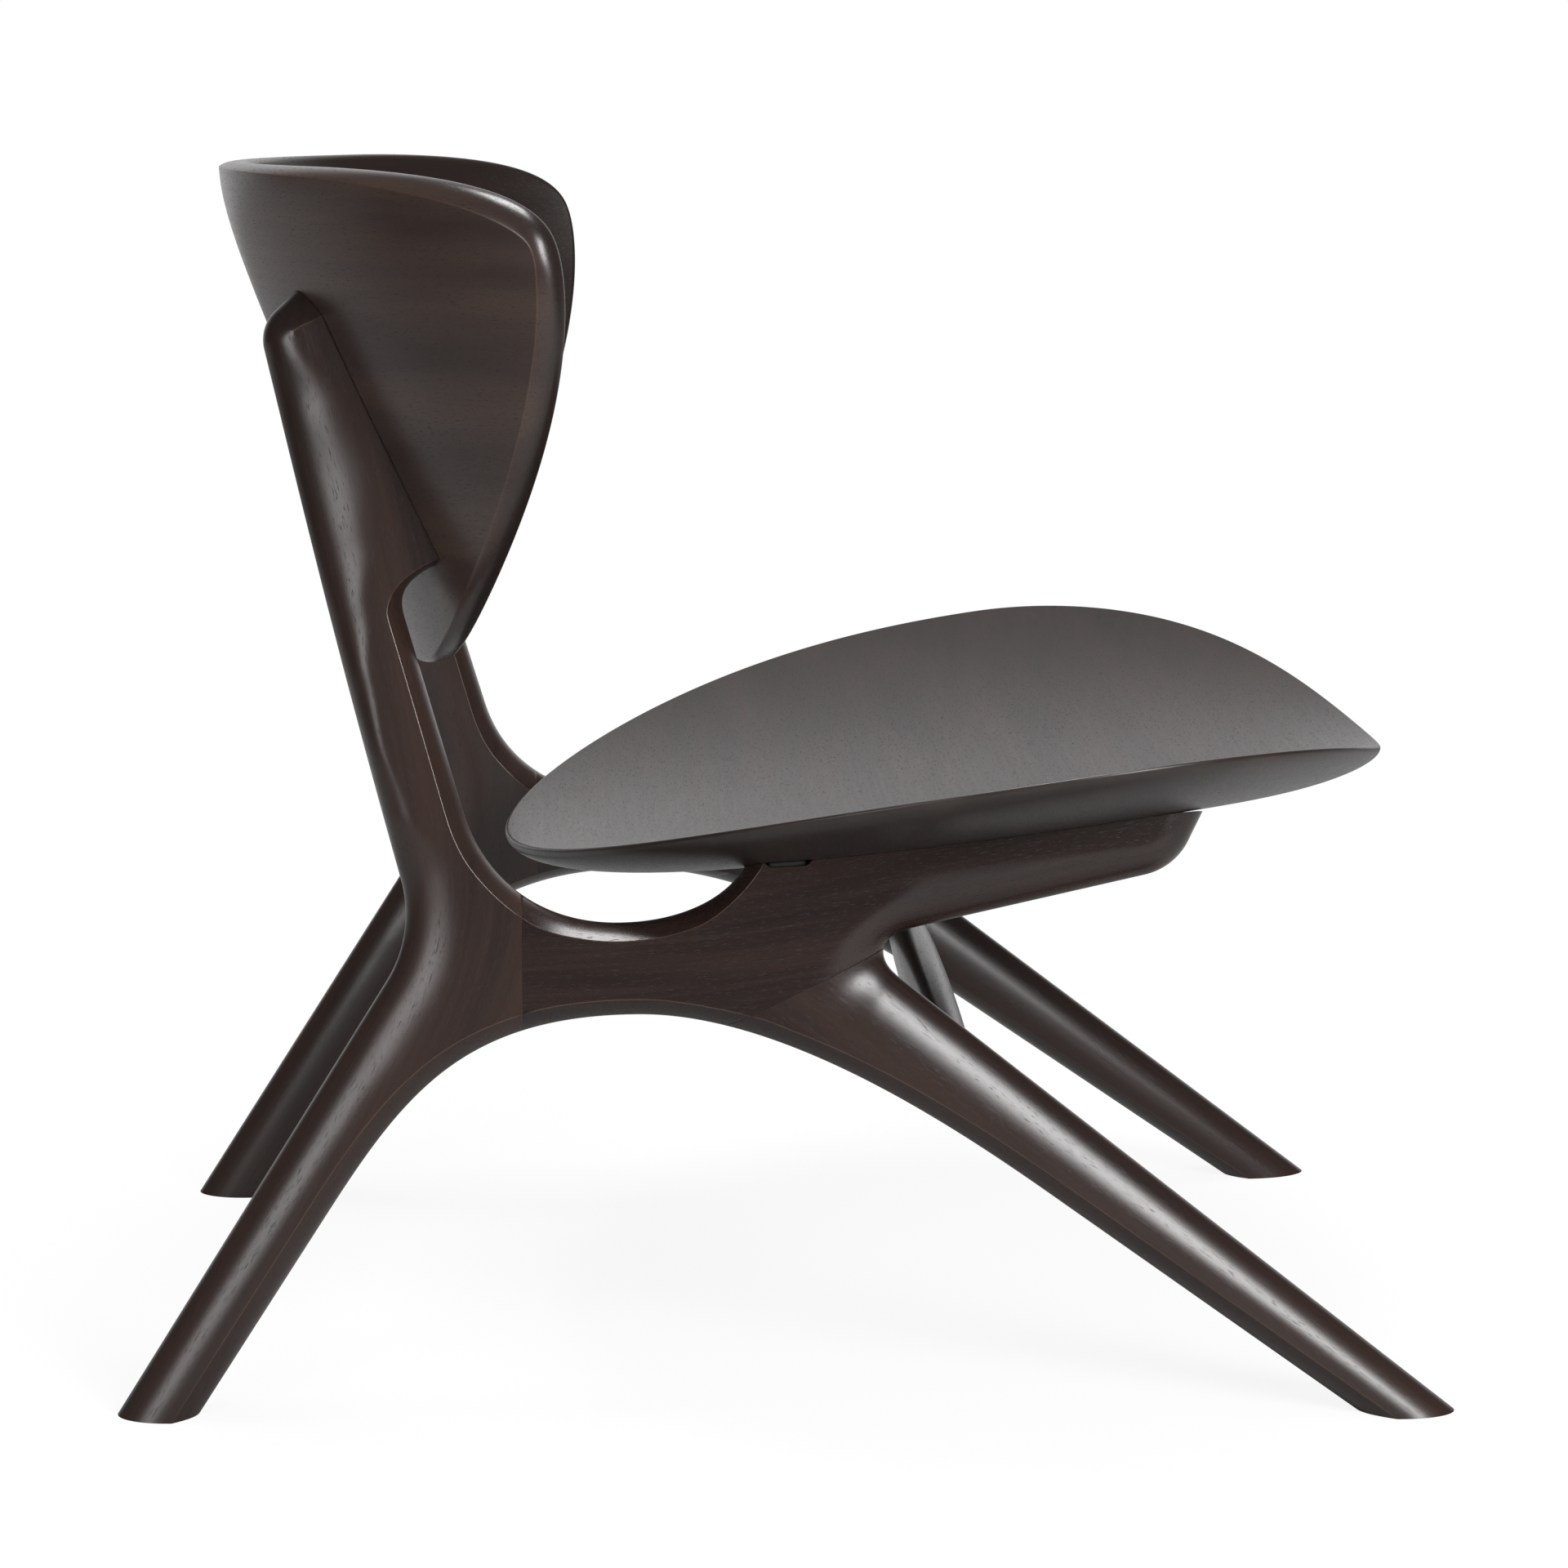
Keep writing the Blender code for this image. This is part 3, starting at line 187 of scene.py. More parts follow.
def stained_mahogany(name, board, tones, sweep=None, laid=None, gloss=SATIN_GLOSS):
    """Mahogany, planed and sanded, stained nearly black-brown and brushed with satin varnish.

    To the eye it is dark chocolate with redder bands, short open pores along the grain and paler
    brown where sanding broke the stain on the arrises. The board matrix turns the piece's own
    coordinates to x along the grain. A swept grain follows across = slope * along
    + bow * sqrt((along - place)^2 + ease^2), as in a member shaped along a curve. Laid veneers take
    their coordinates from an attribute instead, whose third value is the depth below their outside.
    """
    material = bpy.data.materials.new(name)
    material.use_nodes = True
    tree = material.node_tree
    if laid:
        start = add_node(tree, "Attribute", {}, attribute_name=laid).outputs["Vector"]
    else:
        start = add_node(tree, "TexCoord", {}).outputs["Object"]
    grain = add_node(tree, "Mapping", {"Vector": start, "Location": board.translation,
                                       "Rotation": board.to_euler()}).outputs[0]
    if sweep:
        slope, bow, place, ease = sweep
        parts = add_node(tree, "SeparateXYZ", {0: grain}).outputs
        from_place = add_node(tree, "Math", {0: parts[0], 1: place}, operation="SUBTRACT").outputs[0]
        square = add_node(tree, "Math", {0: from_place, 1: from_place, 2: ease ** 2},
                          operation="MULTIPLY_ADD").outputs[0]
        root = add_node(tree, "Math", {0: square}, operation="SQRT").outputs[0]
        bent = add_node(tree, "Math", {0: root, 1: -bow, 2: parts[1]},
                        operation="MULTIPLY_ADD").outputs[0]
        across = add_node(tree, "Math", {0: parts[0], 1: -slope, 2: bent},
                          operation="MULTIPLY_ADD").outputs[0]
        grain = add_node(tree, "CombineXYZ", {0: parts[0], 1: across, 2: parts[2]}).outputs[0]

    patterns = {}
    for pattern, (length, width, detail) in WOOD_PATTERNS.items():
        scale = (1 / length, 1 / width, 1 / width)
        scaled = add_node(tree, "Mapping", {"Vector": grain, "Scale": scale}).outputs[0]
        patterns[pattern] = add_node(tree, "TexNoise", {"Vector": scaled, "Scale": 1.0, "Detail": detail,
                                                        "Roughness": 0.55}).outputs[0]
    dark, middle, light = tones
    colour = add_node(tree, "ValToRGB", {0: patterns["band"]},
                      stops=((0.32, dark), (0.70, light), (0.50, middle))).outputs[0]
    streak = add_node(tree, "MapRange", {"Value": patterns["streak"], "From Min": 0.45, "From Max": 0.8,
                                         "To Max": 0.3}).outputs[0]
    pore = add_node(tree, "MapRange", {"Value": patterns["pore"], "From Min": 0.60, "From Max": 0.72,
                                       "To Max": 0.7}).outputs[0]
    arris = add_node(tree, "Attribute", {}, attribute_name="arris").outputs["Fac"]
    worn = add_node(tree, "Math", {0: arris, 1: patterns["streak"]}, operation="MULTIPLY").outputs[0]
    layers = [(streak, STREAK_TONE), (pore, PORE_TONE), (worn, WORN_TONE)]
    if laid:
        # Painted shade: the rim and the hollow of a laid shell are darkened, more with depth below its
        # outside, to stand for the shade there.
        depth = add_node(tree, "SeparateXYZ", {0: start}).outputs[2]
        deep = add_node(tree, "MapRange", {"Value": depth, "From Max": PAINTED_SHADE_DEPTH,
                                           "To Max": PAINTED_SHADE_SHARE}).outputs[0]
        layers.insert(2, (deep, PAINTED_SHADE_TONE))
    for share, tone in layers:
        colour = add_node(tree, "Mix", {0: share, 6: colour, 7: linear(tone)},
                          data_type="RGBA").outputs[2]
    sheen = add_node(tree, "MapRange", {"Value": patterns["streak"], "To Min": gloss[0],
                                        "To Max": gloss[1]}).outputs[0]
    rough = add_node(tree, "Math", {0: pore, 1: PORE_ROUGHNESS, 2: sheen},
                     operation="MULTIPLY_ADD").outputs[0]
    ridge = add_node(tree, "Math", {0: patterns["streak"], 1: STREAK_RELIEF},
                     operation="MULTIPLY").outputs[0]
    height = add_node(tree, "Math", {0: ridge, 1: pore}, operation="SUBTRACT").outputs[0]
    bump = add_node(tree, "Bump", {"Height": height, "Strength": 0.06, "Distance": 0.0003}).outputs[0]
    shader = tree.nodes["Principled BSDF"]
    tree.links.new(colour, shader.inputs["Base Color"])
    tree.links.new(rough, shader.inputs["Roughness"])
    tree.links.new(bump, shader.inputs["Normal"])
    shader.inputs["IOR"].default_value = 1.5
    return material


seat = skin("carved_seat_shell", *seat_rings())
seat.data.materials.append(stained_mahogany("seat_stained_mahogany", Matrix.Identity(4), SEAT_TONES,
                                            gloss=SEAT_GLOSS))
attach(seat, "root")
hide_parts("seat_shell")

# Back shell
# A shield-shaped shell with a broad crown, drooping wings and a tongue, bent round the sitter. It is
# laid up from mahogany veneers in a mould, its rim rounded by hand, and doweled to both posts.
BACK_HALF_WIDTH = 0.338
BACK_DEPTH = 0.226
BACK_BOW_POWER = 0.65
BACK_REAR = 0.3178
BACK_TOP_HEIGHT = 0.679
BACK_WING_HEIGHT = 0.6383
BACK_BOTTOM_HEIGHT = 0.396
BACK_RECLINE = radians(22.8)
BACK_CREST = 0.0387
BACK_WRAP = radians(74.36)
BACK_CROWN_SHARE = 0.476
BACK_CROWN_PULLS = (0.046, 0.982)
BACK_TONGUE_SHARE = 0.223
BACK_TONGUE_PULLS = (0.257, 0.139)
BACK_THICKNESS = 0.016
BACK_MIDDLE_BAND = 0.003
BACK_WING_BAND = 0.0122
BACK_NOSE_START = radians(25)
BACK_NOSE_SHARE = 0.75
BACK_ARRIS_TURN = 0.03
BACK_TONES = ("#2e2421", "#392d29", "#44352e")


def back_rear_face(across, height):
    """How far forward the rear face lies: upright at its crest, leaning below, bowed to its wings."""
    below = BACK_TOP_HEIGHT - height
    lean = tan(BACK_RECLINE) * (np.hypot(below, BACK_CREST) - BACK_CREST)
    bow = BACK_DEPTH * (1 - (1 - (across / BACK_HALF_WIDTH) ** 2) ** BACK_BOW_POWER)
    return lean + bow - BACK_REAR


def bezier(start, start_way, end, end_way, pulls, steps):
    """Cubic curve through complex places, with a way and a pull, a share of the span, at each end."""
    t = np.linspace(0, 1, steps + 1)
    span = abs(end - start)
    near = start + start_way / abs(start_way) * pulls[0] * span
    far = end - end_way / abs(end_way) * pulls[1] * span
    r = 1 - t
    return r ** 3 * start + 3 * r * r * t * near + 3 * r * t * t * far + t ** 3 * end


def back_place(flat, depth, step=0.0005):
    """Point of the shell: rolled-out place (arc + i height) on the rear face, sunk along its normal."""
    across = BACK_HALF_WIDTH * np.sin(flat.real / BACK_HALF_WIDTH)
    forward = back_rear_face(across, flat.imag)
    slope_x = (back_rear_face(across + step, flat.imag) - forward) / step
    slope_z = (back_rear_face(across, flat.imag + step) - forward) / step
    inward = np.stack((-slope_x, -np.ones_like(forward), -slope_z), axis=-1)
    inward /= np.linalg.norm(inward, axis=-1, keepdims=True)
    return np.stack((across, -forward, flat.imag), axis=-1) + inward * depth


def back_rings(around=560, curve_steps=900, spread=9, face_steps=35, nose_steps=11, low_steps=9):
    """Rings from the middle of the rear face over the rounded rim to the middle of the front face.

    The rim is two curves, mirrored, and an even run of points on them. Each arris is the rim drawn
    in by a band that grows by the square towards the wings. The band lies square to the rim's way
    over a spread of points to either side, which rounds the arris at the wings. The nose between
    them is a part of an ellipse on the outside, and a quarter of one on the inside.
    """
    wing = BACK_WRAP * BACK_HALF_WIDTH
    wing_tip = wing + 1j * BACK_WING_HEIGHT
    crown = wing * BACK_CROWN_SHARE + 1j * BACK_TOP_HEIGHT
    tongue = wing * BACK_TONGUE_SHARE + 1j * BACK_BOTTOM_HEIGHT
    half = np.concatenate((bezier(tongue, 1, wing_tip, 1j, BACK_TONGUE_PULLS, curve_steps),
                           bezier(wing_tip, 1j, crown, -1, BACK_CROWN_PULLS, curve_steps)[1:]))
    line = np.concatenate((half, -half[::-1].conj(), half[:1]))
    walked = np.concatenate(([0], np.cumsum(np.abs(np.diff(line)))))
    even = np.arange(around) * walked[-1] / around
    rim = np.interp(even, walked, line.real) + 1j * np.interp(even, walked, line.imag)
    along = np.roll(rim, -spread) - np.roll(rim, spread)
    inward = 1j * along / np.abs(along)
    band = BACK_MIDDLE_BAND + (BACK_WING_BAND - BACK_MIDDLE_BAND) * (rim.real / wing) ** 2
    outer = rim + inward * band
    inner = rim + inward * np.minimum(band, BACK_THICKNESS * (1 - BACK_NOSE_SHARE))
    middle = 1j * (BACK_TOP_HEIGHT + BACK_BOTTOM_HEIGHT) / 2
    face = face_shares(face_steps)[:, None]
    nose = np.linspace(BACK_NOSE_START, pi / 2, nose_steps + 1)[1:, None]
    nose = np.concatenate(([[BACK_NOSE_START + BACK_ARRIS_TURN]], nose))
    low_nose = quarter_turn(low_steps)[:, None]
    out_share = (np.sin(nose) - sin(BACK_NOSE_START)) / (1 - sin(BACK_NOSE_START))
    out_depth = (cos(BACK_NOSE_START) - np.cos(nose)) / cos(BACK_NOSE_START)
    flat = np.concatenate((middle + face * (outer - middle), outer + out_share * (rim - outer),
                           rim + (1 - np.cos(low_nose)) * (inner - rim),
                           middle + face[-2::-1] * (inner - middle)))
    nose_depth = BACK_THICKNESS * BACK_NOSE_SHARE
    depth = np.concatenate((np.zeros_like(face), nose_depth * out_depth,
                            nose_depth + (BACK_THICKNESS - nose_depth) * np.sin(low_nose),
                            np.full((len(face) - 1, 1), BACK_THICKNESS)))
    arris = np.zeros(flat.shape)
    arris[len(face) - 1] = 1
    flat = flat[:, ::-1]
    grain = np.stack((flat.real, flat.imag, np.broadcast_to(depth, flat.shape)), axis=-1)
    return back_place(flat, depth[..., None]), arris, grain


rings, arris, grain = back_rings()
back = skin("moulded_back_shell", rings, arris)
grain = np.concatenate((grain.reshape(-1, 3), [grain[0].mean(axis=0), grain[-1].mean(axis=0)]))
veneer = back.data.attributes.new("grain", "FLOAT_VECTOR", "POINT")
veneer.data.foreach_set("vector", grain.reshape(-1))
# The back's material paints shade into the shell's rim and hollow
back.data.materials.append(stained_mahogany("back_stained_mahogany_with_painted_shade", Matrix.Identity(4), BACK_TONES,
                                            laid="grain"))
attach(back, "root")
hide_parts("back_shell")

# Rear uprights
# Post and rear leg in one, bandsawn from 38 mm mahogany to a line with a crotch, then shaped with
# spokeshave and rasp: round behind, bevelled to a crisp arris in front, scribed to the back shell.
FRAME_SPREAD = 0.2426
FRAME_SPLAY = radians(6.23)
FRAME_TOE = radians(1.72)
FRAME_THICKNESS = 0.038
ARRIS_BAND = 0.010
EYE_BAND = 0.0085
NECK_BAND = 0.0072
ARRIS_EASE = 0.0006
EASE_RUN = 0.006
FIT = 0.0004
SEAT_FIT = 0.0001
SCRIBE_ROUNDS = 8
GLUE_LINE = 0.00003
REAR_HEEL = -0.3694
REAR_FOOT_LENGTH = 0.045
REAR_LEG_RAKE = radians(32.2)
REAR_LEG_FLARE = radians(0.75)
REAR_LEG_ROUNDS = (0.033, 0.037, 0.036, 0.030, 0.028, 0.0275, 0.027, 0.0265, 0.026)
CROTCH_HEIGHT = 0.265
CROTCH_RADIUS = 0.070
POST_LEAN = radians(13.84)
POST_ROOT_HEIGHT = 0.333
POST_ROOT_WIDTH = 0.0435
POST_NECK_HEIGHT = 0.432
POST_NECK_WIDTH = 0.039
POST_TIP_HEIGHT = 0.6162
POST_TOP_SLOPE = radians(44.0)
POST_TOP_RADIUS = 0.022
POST_ROUNDS = (0.021, 0.036, 0.044, 0.0365, 0.024, 0.016, 0.013, 0.017, 0.033)
POST_INNER_ROUNDS = (0.0165, 0.024, 0.031, 0.036, 0.026, 0.0265, 0.0275, 0.029, 0.033)
POST_BOW = 0.0016
POST_TOP_BANDS = (0.015, 0.009)
SHELF_START_HEIGHT = 0.439
SHELF_HEIGHT = 0.4655
SHELF_RISE = radians(30)
SHELF_PULLS = (0.5, 0.35)
SHELF_BAND = 0.006
ARCH_CROWN = -0.080 + 0.2205j
ARCH_REAR_SPRING = 0.110
ARCH_REAR_PULLS = (0.39, 0.47)
EYE_BASE = -0.092 + 0.271j
EYE_REAR_PULLS = (0.39, 0.393)
REAR_JOINT = -0.143
UPRIGHT_TONES = ("#201714", "#2a1e1a", "#34251f")
UPRIGHT_GRAIN_EASE = 0.06
CUT_CLEARANCE = 0.0005
LEAST_LEAN = 0.001
LEAST_EASE = 0.05
MITRE_LIMIT = 3
TAKE_UP = 0.035
SIDES = {"right": 1, "left": -1}
PLAIN, ROUND, BEVEL, TURNED = 0, 1, 2, 3
# How far each kind of edge is a bevel, at its start and at its end
CRISP = {PLAIN: (1, 1), ROUND: (0, 0), BEVEL: (1, 1), TURNED: (1, 0)}

# One edge of a member's outline: complex places, kind, insets, those of the inner face if they differ,
# the function that scribes it, and the lengths over which it takes up the slide of its two ends
Edge = namedtuple("Edge", "places kind insets inner scribe gives",
                  defaults=(PLAIN, (0.0, 0.0), None, None, (TAKE_UP, TAKE_UP)))


def frame_plane(side):
    """Place of a side frame's drawing plane: x forward, y up, z towards -X, splayed and toed out."""
    stand = Matrix(((0, 0, -1), (-1, 0, 0), (0, 1, 0))).to_4x4()
    splay = Matrix.Rotation(-side * FRAME_SPLAY, 4, "X")
    toe = Matrix.Rotation(-side * FRAME_TOE, 4, "Y")
    return Matrix.Translation((-side * FRAME_SPREAD, 0, 0)) @ stand @ splay @ toe


def in_room(plane, place, z):
    """Room coordinates of complex places in a drawing plane, at a distance off it."""
    turn = np.array(plane.to_3x3())
    off = np.broadcast_to(z, place.shape)
    return np.stack((place.real, place.imag, off), axis=-1) @ turn.T + np.array(plane.translation)


def to_seat(plane, place, z):
    """Places moved up or down, in a few rounds, until they clear the seat's underside by the fit."""
    for _ in range(SCRIBE_ROUNDS):
        room = in_room(plane, place, z)
        forward, across = -room[..., 1], room[..., 0]
        reach = np.where(forward > SEAT_WIDEST, SEAT_FRONT_REACH, SEAT_REAR_REACH)
        share = np.hypot((forward - SEAT_WIDEST) / reach, across / SEAT_HALF_WIDTH)
        underside = seat_top(forward, across) - seat_depth(forward, share)
        place = place + 1j * (underside - SEAT_FIT - room[..., 2])
    return place


def to_back(plane, place, z):
    """Places moved forward or back, in a few rounds, until they clear the back shell by the fit."""
    for _ in range(SCRIBE_ROUNDS):
        room = in_room(plane, place, z)
        place = place + back_rear_face(room[..., 0], room[..., 2]) - FIT + room[..., 1]
    return place


def to_floor(plane, place, z, way):
    """Places slid along a leg's way until they stand on the floor."""
    turn = np.array(plane.to_3x3())[2]
    fall = turn[0] * way.real + turn[1] * way.imag
    return place - way * in_room(plane, place, z)[..., 2] / fall


def fillet(corner, way_in, way_out, radius, steps):
    """Arc that rounds a corner, from radius * tan(half the turn) before it on the way in, all complex."""
    way_in = way_in / abs(way_in)
    turn = np.angle(way_out / way_in)
    start = corner - way_in * radius * tan(abs(turn) / 2)
    centre = start + np.sign(turn) * 1j * way_in * radius
    return centre + (start - centre) * np.exp(1j * turn * np.linspace(0, 1, steps + 1))


def crossing(start_a, way_a, start_b, way_b):
    """Complex place where two lines of the drawing cross."""
    share = ((start_b - start_a).conjugate() * way_b).imag / (way_a.conjugate() * way_b).imag
    return start_a + way_a * share


def at_height(start, way, height):
    """Complex place at a height on a line of the drawing."""
    return start + way * (height - start.imag) / way.imag


def straight(start, end, steps):
    """Even run of complex places on a straight line."""
    return start + (end - start) * np.linspace(0, 1, steps + 1)


def cut_at(curve, low, high):
    """Part of a curve that runs forward, between two places along it."""
    inner = curve[(curve.real > low + CUT_CLEARANCE) & (curve.real < high - CUT_CLEARANCE)]
    ends = [x + 1j * np.interp(x, curve.real, curve.imag) for x in (low, high)]
    return np.concatenate((ends[:1], inner, ends[1:]))


def eased(stations, share):
    """Value at a share of the way over even stations, each step eased by half a cosine."""
    place = np.clip(share, 0, 1) * (len(stations) - 1)
    step = np.minimum(place.astype(int), len(stations) - 2)
    low, high = np.array(stations)[step], np.array(stations)[step + 1]
    return low + (high - low) * (1 - np.cos(pi * (place - step))) / 2


def loft(name, plane, edges, steps=14):
    """Member between its two flat faces, from edges of its outline, counter-clockwise.

    At section angle a, from -90 to 90 degrees, the outline lies half the thickness times sin(a) off
    the middle plane, drawn in by the inset times 1 - cos(a) on a round, or sin(a)^2 on a bevel. A
    turned edge starts as a bevel and ends as a round. The chair's inner face may have insets of its
    own. Corners next to a plain edge slide along it instead, and may be scribed. A shaped edge takes
    up the slide of its ends over the lengths that it gives, half evenly and half eased. A last ring,
    drawn in a little on each flat face, eases the arris.
    """
    corner = np.concatenate([edge.places[:-1] for edge in edges])
    kind = np.concatenate([np.full(len(edge.places) - 1, edge.kind) for edge in edges])
    walks = [np.concatenate(([0], np.cumsum(np.abs(np.diff(edge.places))))) for edge in edges]
    insets = [[eased(face or edge.insets, walk / walk[-1]) for face in (edge.insets, edge.inner)]
              for edge, walk in zip(edges, walks)]
    starts = np.cumsum([0] + [len(walk) - 1 for walk in walks])
    inset_ahead = np.concatenate([np.array(inset)[:, :-1] for inset in insets], axis=1)
    inset_back = np.roll(np.concatenate([np.array(inset)[:, 1:] for inset in insets], axis=1), 1, axis=1)
    kind_back = np.roll(kind, 1)
    crisp = [eased(CRISP[edge.kind], walk / walk[-1]) for edge, walk in zip(edges, walks)]
    crisp = np.where(kind_back == PLAIN, np.concatenate([run[:-1] for run in crisp]),
                     np.roll(np.concatenate([run[1:] for run in crisp]), 1))
    ahead = np.roll(corner, -1) - corner
    ahead = ahead / np.abs(ahead)
    behind = np.roll(ahead, 1)
    mitre = 1j * (ahead + behind)
    mitre = mitre * 2 / np.abs(mitre) ** 2
    lean = (behind.conj() * 1j * ahead).real
    lean = np.where(np.abs(lean) < LEAST_LEAN, 1.0, lean)
    shift = mitre * (inset_back + inset_ahead) / 2
    shift = np.where((kind_back == PLAIN) & (kind != PLAIN), behind * inset_ahead / lean, shift)
    shift = np.where((kind_back != PLAIN) & (kind == PLAIN), -ahead * inset_back / lean, shift)
    shift = np.where((kind_back == PLAIN) & (kind == PLAIN), 0, shift)
    angle = np.linspace(pi / 2, -pi / 2, 2 * steps + 1)[:, None]
    z = FRAME_THICKNESS / 2 * np.sin(angle)
    draw = (1 - crisp) * (1 - np.cos(angle)) + crisp * np.sin(angle) ** 2
    outside = plane.translation.x * z < 0
    outline = corner + np.where(outside, *shift) * draw
    runs = [np.arange(start, start + len(walk)) % len(corner) for start, walk in zip(starts, walks)]
    for edge, walk, run in zip(edges, walks, runs):
        if edge.kind == PLAIN:
            first, last = outline[:, run[:1]], outline[:, run[-1:]]
            line = first + (last - first) * walk / walk[-1]
            outline[:, run] = edge.scribe(plane, line, z) if edge.scribe else line
    for edge, walk, inset, run in zip(edges, walks, insets, runs):
        if edge.kind != PLAIN:
            ways = (ahead[run[0]], behind[run[-1]])
            for end, way, length in zip((0, -1), ways, edge.gives):
                place = run[end]
                drawn = np.where(outside[:, 0], inset[0][end], inset[1][end]) * draw[:, place]
                slide = outline[:, place] - corner[place] - 1j * way * drawn
                share = np.clip(np.abs(walk - walk[end])[1:-1] / length, 0, 1)
                fade = (1 - share + eased((1, 0), share)) / 2
                outline[:, run[1:-1]] += slide[:, None] * fade
    eases = []
    for edge, walk, before, after in zip(edges, walks, edges[-1:] + edges[:-1], edges[1:] + edges[:1]):
        ease = np.full(len(walk), 0.0 if edge.kind == PLAIN else 1.0)
        if before.kind == PLAIN:
            ease = np.minimum(ease, walk / EASE_RUN)
        if after.kind == PLAIN:
            ease = np.minimum(ease, (walk[-1] - walk) / EASE_RUN)
        eases.append(ARRIS_EASE * np.maximum(ease, LEAST_EASE)[:-1])
    faces = []
    for face in (outline[0], outline[-1]):
        way = np.roll(face, -1) - face
        way = way / np.abs(way)
        square = 1j * (way + np.roll(way, 1))
        square = square * np.minimum(2 / np.abs(square) ** 2, MITRE_LIMIT)
        faces.append(face + square * np.concatenate(eases))
    outline = np.stack((faces[0], *outline, faces[1]))
    z = np.concatenate((z[:1], z, z[-1:]))
    worn = np.zeros(outline.shape)
    worn[[1, -2]] = np.where((kind == PLAIN) & (kind_back == PLAIN), 0, crisp)
    return skin(name, in_room(plane, outline, z), worn, flat_ends=True)


def board_of(plane, way):
    """Board coordinates of a member: the drawing plane turned so that x runs along a complex way."""
    return Matrix.Rotation(-np.angle(way), 4, "Z") @ plane.inverted()


heel = complex(REAR_HEEL, 0)
heel_way = complex(sin(REAR_LEG_RAKE), cos(REAR_LEG_RAKE))
ball = heel + REAR_FOOT_LENGTH
ball_way = complex(sin(REAR_LEG_RAKE + REAR_LEG_FLARE), cos(REAR_LEG_RAKE + REAR_LEG_FLARE))
crotch_corner = at_height(heel, heel_way, CROTCH_HEIGHT)
post_way = complex(-sin(POST_LEAN), cos(POST_LEAN))
crotch = fillet(crotch_corner, -post_way, -heel_way, CROTCH_RADIUS, steps=24)
rear_spring = at_height(ball, ball_way, ARCH_REAR_SPRING)
arch_rear = bezier(rear_spring, ball_way, ARCH_CROWN, 1, ARCH_REAR_PULLS, steps=70)
root = at_height(crotch_corner, post_way, POST_ROOT_HEIGHT) + POST_ROOT_WIDTH
neck = at_height(crotch_corner, post_way, POST_NECK_HEIGHT) + POST_NECK_WIDTH
neck_way = neck - root
eye_rear = bezier(root, -neck_way, EYE_BASE, 1, EYE_REAR_PULLS, steps=60)
shelf_start = at_height(neck, neck_way, SHELF_START_HEIGHT)
shelf_way = complex(cos(SHELF_RISE), sin(SHELF_RISE))
top_way = complex(-cos(POST_TOP_SLOPE), -sin(POST_TOP_SLOPE))
for label, side in SIDES.items():
    plane = frame_plane(side)
    shelf, tip = [to_back(plane, np.array([height * 1j - BACK_REAR]), 0.0)[0]
                  for height in (SHELF_HEIGHT, POST_TIP_HEIGHT)]
    recess = bezier(shelf_start, neck_way, shelf, shelf_way, SHELF_PULLS, steps=24)
    post_top = fillet(crossing(tip, top_way, crotch_corner, post_way), top_way, -post_way,
                      POST_TOP_RADIUS, steps=30)
    post_line = straight(post_top[-1], crotch[0], steps=100)
    post_line = post_line + 1j * post_way * POST_BOW * np.sin(np.linspace(0, pi, len(post_line)))
    arch = cut_at(arch_rear, arch_rear[0].real, REAR_JOINT - GLUE_LINE)
    eye = cut_at(eye_rear, eye_rear[0].real, REAR_JOINT - GLUE_LINE)[::-1]
    upright = loft(label + "_shaped_rear_upright", plane, (
        Edge(straight(heel, ball, steps=4), scribe=partial(to_floor, way=heel_way)),
        Edge(np.concatenate((straight(ball, arch[0], steps=40)[:-1], arch)), BEVEL,
             (ARRIS_BAND, ARRIS_BAND), gives=(abs(arch[0] - ball), TAKE_UP)),
        Edge(straight(arch[-1], eye[0], steps=12)),
        Edge(np.concatenate((eye, straight(eye[-1], recess[0], steps=40)[1:])), BEVEL,
             (EYE_BAND, NECK_BAND)),
        Edge(recess, BEVEL, (NECK_BAND, SHELF_BAND), gives=(TAKE_UP, abs(shelf - shelf_start))),
        Edge(straight(shelf, tip, steps=60), scribe=to_back),
        Edge(np.concatenate((straight(tip, post_top[0], steps=8)[:-1], post_top)), TURNED,
             (POST_TOP_BANDS[0], POST_ROUNDS[0]), (POST_TOP_BANDS[1], POST_INNER_ROUNDS[0]),
             gives=(abs(post_top[0] - tip), TAKE_UP)),
        Edge(post_line, ROUND, POST_ROUNDS, POST_INNER_ROUNDS),
        Edge(np.concatenate((crotch[:-1], straight(crotch[-1], heel, steps=70))), ROUND,
             REAR_LEG_ROUNDS, gives=(TAKE_UP, abs(crotch[-1] - heel)))))
    board = board_of(plane, 1j)
    slopes = [tan(-REAR_LEG_RAKE), tan(POST_LEAN)]
    sweep = (sum(slopes) / 2, (slopes[1] - slopes[0]) / 2, CROTCH_HEIGHT, UPRIGHT_GRAIN_EASE)
    upright.data.materials.append(stained_mahogany(label + "_upright_stained_mahogany", board,
                                                   UPRIGHT_TONES, sweep))
    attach(upright, "root")
    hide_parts(label + "_rear_upright")

# Side beams
# Beam and seat arm in one, cut from 38 mm mahogany, doweled and glued to the upright behind and to
# the leg in front. The arm is rounded below and scribed to the seat, with pads let into its top.
ARCH_FRONT_SPRING = 0.120
ARCH_FRONT_PULLS = (0.32, 0.27)
EYE_FRONT_PULLS = (0.477, 0.248)
EYE_END_RISE = radians(60.1)
ARM_REAR = -0.022
ARM_TIP = 0.2293
ARM_TOP_GUESS = 0.28
ARM_TOP_STEP = 0.004
ARM_TIP_RUN = 0.035
ARM_TIP_DROP = 0.0014
ARM_UNDERSIDE_HEIGHT = 0.2517
ARM_UNDERSIDE_RISE = radians(12.6)
ARM_NOSE_RAKE = radians(24.4)
ARM_NOSE_RADIUS = 0.035
ARM_ROUND = 0.018
